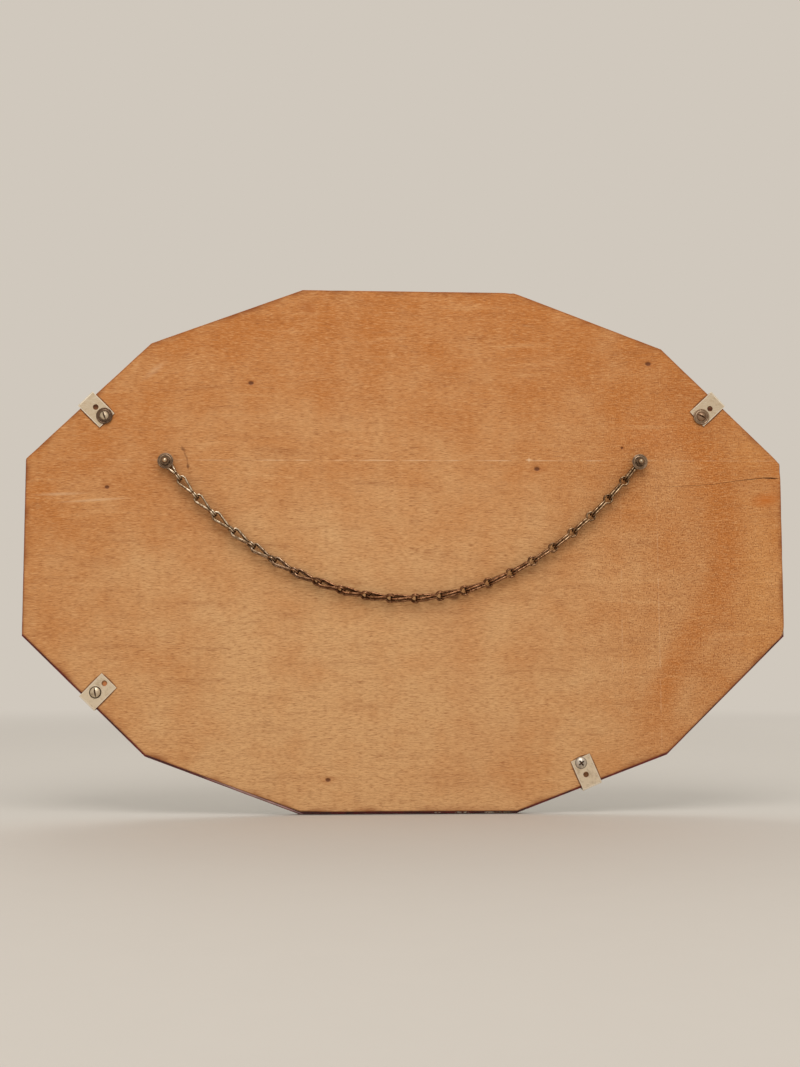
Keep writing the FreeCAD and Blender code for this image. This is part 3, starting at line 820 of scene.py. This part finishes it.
def with_plies(s, colour, y, mottle):
    """Colour of the back, and below it the plies of the sheet's side."""
    wave = s.math("MULTIPLY", s.math("SUBTRACT", mottle, 0.5), PLY_WAVE)
    turns = PLY_COUNT * math.pi / abs(BOARD_FRONT)
    ply = s.math("SINE", s.math("MULTIPLY", s.math("ADD", y, wave), turns))
    end_grain = s.noise(s.stretched(END_GRAIN_LENGTHS))
    layer = s.mix(s.ramp(ply, -0.35, 0.35), PLY_DARK, PLY_PALE)
    layer = s.mix(s.ramp(end_grain, 0.45, 0.75, 0.0, END_GRAIN_STRENGTH), layer, EDGE_BROWN)
    return s.mix(s.ramp(y, *PLY_FROM), colour, layer)


def plywood_material():
    """Orange plywood with its grain, marks, worn rim and plies."""
    s = Shader("plywood")
    x, y, z = s.split(s.coords)
    grain = grain_noises(s, x, y, z)
    fibre = grain["fibre"]
    mottle = s.noise(s.coords, MOTTLE_SCALE, 3.0, 0.55)
    colour = bare_wood(s, mottle)
    colour = grained(s, colour, grain)
    colour = marked(s, colour, fibre)
    colour = dark_rimmed(s, colour)
    colour = with_plies(s, colour, y, mottle)
    height = s.math("ADD", s.math("MULTIPLY", fibre, 0.6), s.math("MULTIPLY", grain["fine"], 0.4))
    height = s.math("SUBTRACT", height, s.ramp(grain["vessel"], 0.62, 0.76, 0.0, VESSEL_DEPTH))
    roughness = s.ramp(fibre, 0.3, 0.7, *WOOD_ROUGHNESS)
    return s.finish(Base_Color=colour, Roughness=roughness, Specular_IOR_Level=WOOD_SPECULAR,
                    Normal=s.bump(height, *WOOD_BUMP))


# Glass, silver film and back paint

GLASS_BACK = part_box("mirror_glass")[1].y
GLASS_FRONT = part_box("mirror_glass")[0].y
GLASS_STEP = 3 * MM
ARRIS = 0.35 * MM
NICK_GROWTH = 0.8
NICK_LENGTH = 9 * MM
NICK_SEED = 11.0

# Material slots of the glass: its front, its back, its ground rim and its bevel
FACE, BACK, RIM, BEVEL = range(4)

# Turn from the rim to the bevel: its reach back along the rim, and inward and forward on the bevel
TURN_BACK = 0.12 * MM
TURN_INSET = 0.5 * MM
TURN_FRONT = 0.06 * MM

# Ragged edges of the silver film and of the paint
FILM_INSET = 0.08 * MM
FILM_WEAR = 0.15 * MM
FILM_SEED = 5.0
PAINT_INSET = 0.1 * MM
PAINT_WEAR = 0.4 * MM
PAINT_SEED = 9.0
COAT_STEP = 1.5 * MM
COAT_LENGTH = 11 * MM
COAT_FRAY = 0.12 * MM
COAT_FRAY_LENGTH = 2.2 * MM
COAT_LEAST = 0.05 * MM


def glass_levels():
    """Heights along Y at which the glass plate has corners, from the back to the front."""
    return sorted({round(v.co.y, 6) for v in nodes["mirror_glass"].data.vertices}, reverse=True)


def make_glass():
    """Bevelled plate with a ground rim and a nicked arris."""
    levels = glass_levels()
    rim_front = levels[1]
    outline = corner_loop("mirror_glass", levels[0])
    flat = corner_loop("mirror_glass", levels[-1])
    loop = fine_loop(outline, GLASS_STEP)
    inner_loop = even_match(outline, flat, GLASS_STEP)
    bm = bmesh.new()
    nick = [1 + NICK_GROWTH * max(0.0, rough(p, NICK_LENGTH, NICK_SEED)) for p, _ in loop]
    back = ring(bm, [p - out * ARRIS * n for (p, out), n in zip(loop, nick)], GLASS_BACK)
    side = ring(bm, [p for p, _ in loop], GLASS_BACK - ARRIS)
    edge = ring(bm, [p for p, _ in loop], rim_front + TURN_BACK)
    turn = ring(bm, [p - out * TURN_INSET for p, out in loop], rim_front - TURN_FRONT)
    front = ring(bm, inner_loop, GLASS_FRONT)
    skin(bm, back, side, RIM)
    skin(bm, side, edge, RIM)
    skin(bm, edge, turn, RIM)
    skin(bm, turn, front, BEVEL)
    bm.faces.new(front).material_index = FACE
    bm.faces.new(back).material_index = BACK
    piece = new_piece("bevelled_glass", bm, ROOT, ["mirror_glass"])
    piece.data.materials.append(mirror_material("silvered_glass", MIRROR_FACE))
    piece.data.materials.append(silver_material())
    piece.data.materials.append(glass_edge_material())
    piece.data.materials.append(mirror_material("silvered_bevel", MIRROR_BEVEL))


def even_match(outline, inner, step):
    """Points of an inner outline that pair with the fine points of the outer one."""
    count = len(outline)
    start = min(range(count), key=lambda i: (inner[i] - outline[0]).length)
    points = []
    for i in range(count):
        parts = max(1, round((outline[(i + 1) % count] - outline[i]).length / step))
        a = inner[(start + i) % count]
        b = inner[(start + i + 1) % count]
        points.extend(a.lerp(b, k / parts) for k in range(parts))
    return points


def make_film(name, node, inset, wear, seed):
    """Thin coat with a ragged edge, in the place of a CAD coat."""
    low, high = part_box(node)
    loop = fine_loop(corner_loop(node, high.y), COAT_STEP)
    edge = []
    for point, outward in loop:
        uneven = wear * (0.5 + 0.5 * rough(point, COAT_LENGTH, seed))
        frayed = COAT_FRAY * rough(point, COAT_FRAY_LENGTH, seed)
        edge.append(point - outward * max(COAT_LEAST, inset + uneven + frayed))
    bm = bmesh.new()
    back = ring(bm, edge, high.y)
    front = ring(bm, edge, low.y)
    skin(bm, back, front)
    bm.faces.new(back)
    bm.faces.new(front)
    return new_piece(name, bm, ROOT, [node])


MIRROR_FACE = tone(244, 247, 245)
MIRROR_BEVEL = tone(226, 234, 230)
MIRROR_FOXED = tone(150, 132, 108)
GLASS_IOR = 1.52
FOXED_REACH = 0.035
FOXED_STRENGTH = 0.55
MIRROR_ROUGHNESS = (0.012, 0.07)
CLEAR_ROUGHNESS = 0.01
RIM_GREEN = tone(146, 160, 150)
RIM_GREY = tone(186, 176, 172)
RIM_SMEAR = tone(150, 96, 100)
RIM_SMEAR_STRENGTH = 0.75
RIM_ROUGHNESS = 0.42
SILVER = (0.93, 0.94, 0.93, 1.0)
SILVER_FOXED = (0.42, 0.38, 0.33, 1.0)
COPPER_PALE = tone(186, 138, 132)
COPPER_DARK = tone(142, 92, 88)
COPPER_METALLIC = 0.6
COPPER_ROUGHNESS = 0.45


def mirror_material(name, base):
    """Silvered glass seen from the front: a mirror under a clear coat, foxed towards its rim."""
    s = Shader(name)
    smear = s.noise(s.stretched((0.05, 1.0, 0.02)), detail=3.0)
    spots = s.ramp(s.noise(s.coords, 170.0, 4.0, 0.65), 0.60, 0.72)
    near = s.ramp(board_edge_distance(s), FOXED_REACH, 0.0, 0.0, FOXED_STRENGTH)
    colour = s.lay(base, spots, near, MIRROR_FOXED)
    roughness = s.ramp(smear, 0.5, 0.85, *MIRROR_ROUGHNESS)
    return s.finish(Base_Color=colour, Metallic=1.0, Roughness=roughness,
                    Coat_Weight=1.0, Coat_Roughness=CLEAR_ROUGHNESS, Coat_IOR=GLASS_IOR)


def glass_edge_material():
    """Ground rim of the glass, frosted green-grey with smears of back paint."""
    s = Shader("ground_glass_edge")
    grind = s.noise(s.stretched((0.004, 0.0006, 0.004)), detail=3.0)
    smear = s.ramp(s.noise(s.coords, 38.0, 3.0), 0.47, 0.62)
    colour = s.mix(s.ramp(grind, 0.35, 0.7), RIM_GREEN, RIM_GREY)
    colour = s.lay(colour, smear, RIM_SMEAR_STRENGTH, RIM_SMEAR)
    return s.finish(Base_Color=colour, Roughness=RIM_ROUGHNESS, Normal=s.bump(grind, 0.3, 0.0002))


def silver_material():
    """Back of the glass, where its film lies."""
    s = Shader("silver_film")
    haze = s.ramp(s.noise(s.coords, 22.0, 4.0), 0.6, 0.85, 0.015, 0.06)
    foxing = s.ramp(s.noise(s.coords, 60.0, 4.0, 0.65), 0.73, 0.80, 0.0, 0.35)
    colour = s.mix(foxing, SILVER, SILVER_FOXED)
    return s.finish(Base_Color=colour, Metallic=1.0, Roughness=haze)


def copper_film_material():
    """Pink copper flash that shows where the paint has worn off the film."""
    s = Shader("copper_film")
    spots = s.noise(s.coords, 400.0, 3.0)
    colour = s.mix(s.ramp(spots, 0.35, 0.7), COPPER_PALE, COPPER_DARK)
    return s.finish(Base_Color=colour, Metallic=COPPER_METALLIC, Roughness=COPPER_ROUGHNESS)


PAINT_RED = tone(136, 38, 32)
PAINT_DARK = tone(84, 22, 20)
PAINT_DUST = tone(122, 70, 60)
# Pale mauve of the painted reflection on the glossy paint
SHEEN_MAUVE = tone(228, 192, 192)
CHIP_CREAM = tone(226, 212, 188)
CHIP_GREY = tone(160, 148, 118)

# Painted reflection on the glossy paint along the lower left rim: pixels of its ends and of the corner
# above it, inset and half-width in millimetres
SHEEN_ENDS = ((213, 782.5), (303, 812.0))
SHEEN_CORNER = (143, 755)
SHEEN_INSET = 1.2
SHEEN_HALF = 0.55

# Each chip of the paint on the bottom rim: first and last pixel across, half-height in millimetres, tone
RIM_CHIPS = (
    (435, 440, 0.45, CHIP_CREAM),
    (456, 461, 0.6, CHIP_CREAM),
    (464, 469, 0.7, CHIP_CREAM),
    (485, 494, 0.6, CHIP_CREAM),
    (495, 511, 0.55, CHIP_GREY),
)
CHIP_ROW = 814
CHIP_RISE = 0.9


def paint_material():
    """Dark red back paint, with a painted reflection along the lower left rim, and chipped along the
    bottom.
    """
    s = Shader("back_paint")
    low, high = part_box("backing_paint")
    flow = s.noise(s.coords, 90.0, 4.0)
    fine = s.noise(s.coords, 900.0, 2.0)
    colour = s.mix(s.ramp(flow, 0.35, 0.7), PAINT_DARK, PAINT_RED)
    colour = s.mix(s.ramp(fine, 0.62, 0.8, 0.0, 0.5), colour, PAINT_DUST)
    corners = corner_loop("backing_paint", high.y)
    upper, lower = (on_back(pixel, high.y) for pixel in SHEEN_ENDS)
    edge_end = min(corners, key=lambda p: (p - lower).length)
    above = on_back(SHEEN_CORNER, high.y)
    edge_start = min(corners, key=lambda p: (p - above).length)
    along = (edge_end - edge_start).normalized()
    inward = Vector((-along.y, along.x))
    inward = inward if inward.dot(edge_end) < 0 else -inward
    sheen_start = edge_start + along * (upper - edge_start).dot(along) + inward * SHEEN_INSET * MM
    sheen_end = edge_end + inward * SHEEN_INSET * MM
    # Painted reflection: a pale strip along the lower left rim
    painted_sheen = stroke(s, sheen_start, sheen_end, SHEEN_HALF * MM, 0.4)
    painted_sheen = s.math("MULTIPLY", painted_sheen, s.ramp(flow, 0.30, 0.55, 0.55, 0.95))
    colour = s.mix(painted_sheen, colour, SHEEN_MAUVE)
    for first, last, half, chip in RIM_CHIPS:
        start, end = (on_back((pixel, CHIP_ROW), high.y) for pixel in (first, last))
        start.y = low.z + CHIP_RISE * MM
        end.y = start.y
        ragged = s.ramp(fine, 0.40, 0.52)
        mask = s.math("MULTIPLY", stroke(s, start, end, half * MM, 0.5), ragged)
        colour = s.mix(mask, colour, chip)
    return s.finish(Base_Color=colour, Roughness=s.ramp(flow, 0.3, 0.7, 0.30, 0.5),
                    Normal=s.bump(fine, 0.2, 0.0001))


# Metal

# Near-black brown of the painted shade and grime in the metal's hollows
SHADE_AND_GRIME_TONE = tone(40, 26, 17)
NICKEL = tone(222, 204, 177)
NICKEL_PALE = tone(240, 223, 197)
NICKEL_DARK = tone(172, 148, 116)
NICKEL_BRIGHT = tone(252, 242, 224)
# Chain tones: base, dark (also its painted shade on the sides) and bright (its painted highlight along
# the crest)
BRONZE = tone(128, 85, 56)
BRONZE_DARK = tone(48, 27, 17)
BRONZE_BRIGHT = tone(176, 130, 96)
CHAIN_PALE = tone(168, 140, 108)
CHAIN_PALE_DARK = tone(74, 48, 30)
CHAIN_PALE_BRIGHT = tone(242, 224, 198)
CHAIN_DULL = tone(124, 92, 62)
CHAIN_DULL_BRIGHT = tone(196, 168, 134)
RECESS_SHADE_BROWN = tone(80, 50, 31)

# Tones of each metal: base, tarnish, bright scratches
# Bright tones of the clips' rounded edge strip: a painted highlight
CLIP_HIGHLIGHT_TONES = (NICKEL_BRIGHT, NICKEL, NICKEL_BRIGHT)
DARK_WASHER = (tone(118, 94, 76), tone(62, 46, 35), tone(170, 146, 122))
DULL_WASHER = (tone(158, 132, 108), tone(92, 70, 53), tone(196, 172, 146))
BOLT_TONES = (tone(206, 188, 160), tone(104, 82, 60), tone(238, 224, 202))
NUT_TONES = (tone(120, 96, 74), tone(62, 46, 34), tone(176, 154, 128))
SCREW_PALE = (tone(222, 205, 178), tone(146, 122, 94), NICKEL_BRIGHT)
SCREW_DULL = (tone(166, 136, 110), tone(96, 72, 54), tone(204, 180, 154))
SCREW_GREY = (tone(216, 207, 194), tone(160, 148, 132), tone(244, 240, 232))

# Where the chain's tones change, as shares of its half-span, and how far patches shift that in metres
CHAIN_LEFT = (0.30, 0.75)
CHAIN_RIGHT = (-0.35, -0.85)
CHAIN_PATCHY = 0.05

# Grain of plain metal, reach of the painted shade and grime in hollows, and surface
EVEN_GRAIN = (0.0012, 0.0012, 0.0012)
METAL_HOLLOW = 1.2 * MM
LINK_HOLLOW = 2.2 * MM
DIRT_ROUGHNESS = 0.3
METAL_BUMP = (0.12, 0.00008)
LINK_BUMP = (0.15, 0.00008)


def hollow_shade_and_grime(s, reach, strength, local=True):
    """Mask of the corners and crevices from ambient occlusion: painted shade there, with the grime that
    stays in them.
    """
    node = s.add("ShaderNodeAmbientOcclusion", samples=8, only_local=local)
    node.inputs["Distance"].default_value = reach
    return s.ramp(node.outputs["AO"], 0.80, 0.30, 0.0, strength)


def worn_metal(name, tones, roughness, tarnish, shade_and_grime, grain=EVEN_GRAIN, strokes=(), rim=None):
    """Aged metal with tarnish in patches, fine scratches, and painted shade with grime in its corners.

    Each stroke is a line on the back plane: its ends, half-width, tone and strength.
    The rim is painted shade round a domed head's edge: its centre, inner radius and strength.
    """
    base, dark, bright = tones
    s = Shader(name)
    patch = s.noise(s.coords, 240.0, 4.0, 0.6)
    speck = s.noise(s.coords, 1500.0, 3.0, 0.6)
    brush = s.noise(s.stretched(grain), detail=3.0, roughness=0.6)
    colour = s.mix(s.ramp(patch, 0.42, 0.72, 0.0, tarnish), base, dark)
    colour = s.mix(s.ramp(brush, 0.52, 0.8, 0.0, 0.6), colour, bright)
    colour = s.mix(s.ramp(speck, 0.60, 0.74, 0.0, 0.6 * tarnish), colour, dark)
    # Painted shade with grime in the metal's hollows
    shade_and_grime_mask = hollow_shade_and_grime(s, METAL_HOLLOW, shade_and_grime)
    # Painted shade round a domed head's rim
    if rim:
        centre, inner, strength = rim
        outside = s.math("SUBTRACT", 1.0, s.spot(centre, inner, inner, 0.0, 0.08))
        shade_and_grime_mask = s.math("MAXIMUM", shade_and_grime_mask, s.math("MULTIPLY", outside, strength))
    colour = s.mix(shade_and_grime_mask, colour, SHADE_AND_GRIME_TONE)
    # Strokes: painted shade in screw slots and painted highlights along clip edges
    for start, end, half, mark, strength in strokes:
        line = stroke(s, start, end, half, 0.4)
        colour = s.lay(colour, line, strength, mark)
    dull = s.ramp(patch, 0.35, 0.75, roughness, roughness + 0.16)
    dull = s.math("ADD", dull, s.math("MULTIPLY", shade_and_grime_mask, DIRT_ROUGHNESS))
    return s.finish(Base_Color=colour, Metallic=1.0, Roughness=dull,
                    Normal=s.bump(s.math("ADD", brush, speck), *METAL_BUMP))


def chain_material():
    """Wire that is worn nickel at the left, dark bronze in the middle and dull beige at the right, with
    painted shade on its sides and in its hollows and a painted highlight along its crest.
    """
    s = Shader("chain_wire")
    x, _, _ = s.split(s.coords)
    patch = s.noise(s.coords, 320.0, 4.0, 0.6)
    speck = s.noise(s.coords, 1800.0, 3.0, 0.6)
    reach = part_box("chain_link_01")[1].x
    shifted = s.math("ADD", x, s.math("MULTIPLY", s.math("SUBTRACT", patch, 0.5), CHAIN_PATCHY))
    left = s.ramp(shifted, *(reach * share for share in CHAIN_LEFT))
    right = s.ramp(shifted, *(reach * share for share in CHAIN_RIGHT))
    base = s.mix(right, s.mix(left, BRONZE, CHAIN_PALE), CHAIN_DULL)
    pale = s.math("MAXIMUM", left, s.math("MULTIPLY", right, 0.5))
    dark = s.mix(pale, BRONZE_DARK, CHAIN_PALE_DARK)
    bright = s.mix(right, s.mix(left, BRONZE_BRIGHT, CHAIN_PALE_BRIGHT), CHAIN_DULL_BRIGHT)
    normal = s.add("ShaderNodeTexCoord").outputs["Normal"]
    crest = s.split(normal)[1]
    colour = s.mix(s.ramp(patch, 0.46, 0.72, 0.0, 0.8), base, dark)
    colour = s.mix(s.ramp(speck, 0.58, 0.76, 0.0, 0.6), colour, dark)
    # Painted shade on the wire's sides and a painted highlight along its crest, both set by the normal's
    # Y
    colour = s.mix(s.ramp(crest, 0.65, 0.15, 0.0, 0.9), colour, dark)
    painted_sheen = s.math("MULTIPLY", s.ramp(crest, 0.70, 0.97), s.ramp(patch, 0.58, 0.38, 0.05, 0.80))
    colour = s.mix(painted_sheen, colour, bright)
    # Painted shade with grime in the wire's hollows and where it lies near the board or other links
    shade_and_grime_mask = hollow_shade_and_grime(s, LINK_HOLLOW, 0.95, False)
    colour = s.mix(shade_and_grime_mask, colour, SHADE_AND_GRIME_TONE)
    dull = s.ramp(patch, 0.3, 0.7, 0.24, 0.42)
    dull = s.math("ADD", dull, s.math("MULTIPLY", shade_and_grime_mask, DIRT_ROUGHNESS))
    return s.finish(Base_Color=colour, Metallic=1.0, Roughness=dull, Normal=s.bump(speck, *LINK_BUMP))


# Rounding of the metal pieces' edges, its segments and the angle from which an edge is sharp
SCREW_ROUND = 0.12 * MM
CLIP_ROUND = 0.3 * MM
BOLT_ROUND = 0.25 * MM
ROUND_SEGMENTS = 2
SHARP_ANGLE = math.radians(40)


def dress(name, *materials):
    """Give a CAD node materials of its own."""
    data = nodes[name].data
    data.materials.clear()
    for material in materials:
        data.materials.append(material)


def soften(name, width, painted_sheen=-1):
    """Round a CAD node's sharp edges a little; the last argument is the material slot of the rounded
    strip, where a painted highlight goes.
    """
    edge = nodes[name].modifiers.new("worn_edges", "BEVEL")
    edge.width = width
    edge.segments = ROUND_SEGMENTS
    edge.limit_method = "ANGLE"
    edge.angle_limit = SHARP_ANGLE
    edge.material = painted_sheen


# Fuller strands of the links: their swell, and where it grows and fades along a link
WIRE_SWELL = 0.22 * MM
BOW_CLEAR = (4.6 * MM, 5.2 * MM)
EYE_CLEAR = (16.0 * MM, 15.0 * MM)


def fuller_strands(name):
    """Let a link's strands stand a little fuller than its CAD solid, away from its bow and eyes."""
    link = nodes[name]
    places = [v.co for v in link.data.vertices]
    middle = sum(places, Vector()) / len(places)
    bow = max(places, key=lambda p: (p - middle).length)
    eye = max(places, key=lambda p: (p - bow).length)
    along = (eye - bow).normalized()
    strands = link.vertex_groups.new(name="strands")
    for vertex in link.data.vertices:
        reach = (vertex.co - bow).dot(along)
        weight = 1.0
        for none, full in (BOW_CLEAR, EYE_CLEAR):
            weight = min(weight, max(0.0, (reach - none) / (full - none)))
        if weight > 0:
            strands.add([vertex.index], weight, "REPLACE")
    swell = link.modifiers.new("fuller_strands", "DISPLACE")
    swell.vertex_group = "strands"
    swell.strength = WIRE_SWELL
    swell.mid_level = 0.0


# Clip screws

# Dark slots and crosses of the screw heads: painted shade with dirt in the recess
SLOT_HALF = 0.6 * MM
SLOT_STRENGTH = 0.92

# Each clip screw: tones, direction of its slot (painted shade with dirt) in degrees, the slot's
# half-length in millimetres, its arms, the inner radius of the painted shade round the head's rim in
# millimetres and that shade's strength
SCREWS = {
    "clip_screw_upper_left": (SCREW_PALE, 110, 3.4, 1, 3.2, 0.5),
    "clip_screw_upper_right": (SCREW_DULL, 150, 3.4, 1, 3.5, 0.25),
    "clip_screw_lower_left": (SCREW_PALE, 100, 3.6, 1, 3.9, 0.85),
    "clip_screw_lower_right": (SCREW_GREY, 40, 2.3, 2, 4.1, 0.45),
}


def screw_material(node):
    """Metal of a clip screw, with painted shade and dirt in its slot or cross, and painted shade round
    its head's rim.
    """
    tones, angle, reach, arms, inner, strength = SCREWS[node]
    low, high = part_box(node)
    centre = Vector(((low.x + high.x) / 2, (low.z + high.z) / 2))
    strokes = []
    for k in range(arms):
        turn = math.radians(angle + 90 * k)
        along = Vector((-math.cos(turn), math.sin(turn))) * reach * MM
        strokes.append((centre - along, centre + along, SLOT_HALF, RECESS_SHADE_BROWN, SLOT_STRENGTH))
    return worn_metal(node + "_metal", tones, roughness=0.42, tarnish=0.6, shade_and_grime=0.9,
                      strokes=strokes, rim=(centre, inner * MM, strength))


# Clips

STRIP_GRAIN = (0.004, 0.0006, 0.0006)
# Painted highlight along each edge of a clip's leaf: half-width and strength
CLIP_HIGHLIGHT_HALF = 0.55 * MM
CLIP_HIGHLIGHT_STRENGTH = 0.85
PALE_CLIPS = ("clip_lower_left", "clip_lower_right")


def clip_material(node):
    """Nickelled strip with a painted highlight along its edges."""
    # Painted highlight along each edge of the leaf
    edges = []
    for start, end in leaf_edges(node):
        edges.append((start, end, CLIP_HIGHLIGHT_HALF, NICKEL_BRIGHT, CLIP_HIGHLIGHT_STRENGTH))
    base = NICKEL_PALE if node in PALE_CLIPS else NICKEL
    return worn_metal(node + "_metal", (base, NICKEL_DARK, NICKEL_BRIGHT), roughness=0.40, tarnish=0.45,
                      shade_and_grime=0.7, grain=STRIP_GRAIN, strokes=edges)


# Washers with turned rings

WASHER_SIDES = 72

# Section of a turned washer, from the bore's foot outward and back: shares of its radius and thickness
WASHER_SECTION = (
    (0.37, 0.0), (0.97, 0.0), (1.0, 0.12), (1.0, 0.72), (0.975, 0.88),
    (0.93, 0.97), (0.87, 0.95), (0.835, 0.62), (0.79, 0.60), (0.75, 0.90),
    (0.70, 1.0), (0.60, 1.0), (0.57, 0.75), (0.53, 0.75), (0.50, 1.0),
    (0.40, 1.0), (0.37, 0.92),
)


def make_washer(node, material):
    """Lathe-turned washer in the place of a CAD one."""
    low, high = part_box(node)
    centre = (low + high) / 2
    radius = (high.x - low.x) / 2
    thickness = high.y - low.y
    bm = bmesh.new()
    loops = []
    for share, height in WASHER_SECTION:
        level = low.y + thickness * height
        loop = []
        for k in range(WASHER_SIDES):
            angle = 2 * math.pi * k / WASHER_SIDES
            place = Vector((centre.x + radius * share * math.cos(angle), level,
                            centre.z + radius * share * math.sin(angle)))
            loop.append(bm.verts.new(place))
        loops.append(loop)
    for lower, upper in zip(loops, loops[1:] + loops[:1]):
        skin(bm, lower, upper)
    for face in bm.faces:
        face.smooth = True
    piece = new_piece(node + "_turned", bm, ROOT, [node])
    piece.data.materials.append(material)


# Build

make_floor()
make_world()
make_lamps()
make_board()
make_glass()
silver_coat = make_film("silver_coat", "silvering", FILM_INSET, FILM_WEAR, FILM_SEED)
silver_coat.data.materials.append(copper_film_material())
paint_coat = make_film("paint_coat", "backing_paint", PAINT_INSET, PAINT_WEAR, PAINT_SEED)
paint_coat.data.materials.append(paint_material())

# Rounded edge strip of the clips, painted bright as a highlight
clip_edge_highlight = worn_metal("clip_painted_highlight_edge", CLIP_HIGHLIGHT_TONES, roughness=0.25, tarnish=0.4, shade_and_grime=0.7)
dark_washer = worn_metal("dark_washer", DARK_WASHER, roughness=0.38, tarnish=0.9, shade_and_grime=0.85)
dull_washer = worn_metal("dull_washer", DULL_WASHER, roughness=0.42, tarnish=0.7, shade_and_grime=0.85)
bolt_metal = worn_metal("aged_bolt", BOLT_TONES, roughness=0.32, tarnish=0.6, shade_and_grime=0.9)
nut_metal = worn_metal("aged_nut", NUT_TONES, roughness=0.36, tarnish=0.8, shade_and_grime=0.9)
chain_metal = chain_material()
WASHER_METALS = {"clip_washer_upper_left": dark_washer}

for name in nodes:
    if name.startswith("chain_link"):
        dress(name, chain_metal)
        fuller_strands(name)
    elif "washer" in name:
        make_washer(name, WASHER_METALS.get(name, dull_washer))
    elif name in SCREWS:
        dress(name, screw_material(name))
        soften(name, SCREW_ROUND)
    elif name in CLIPS:
        # Clips: the rounded edge strip takes the painted highlight material
        dress(name, clip_material(name), clip_edge_highlight)
        soften(name, CLIP_ROUND, 1)
    elif name.startswith("chain_"):
        dress(name, nut_metal if "nut" in name else bolt_metal)
        soften(name, BOLT_ROUND)

bpy.context.scene.view_settings.view_transform = "Standard"
bpy.context.view_layer.update()
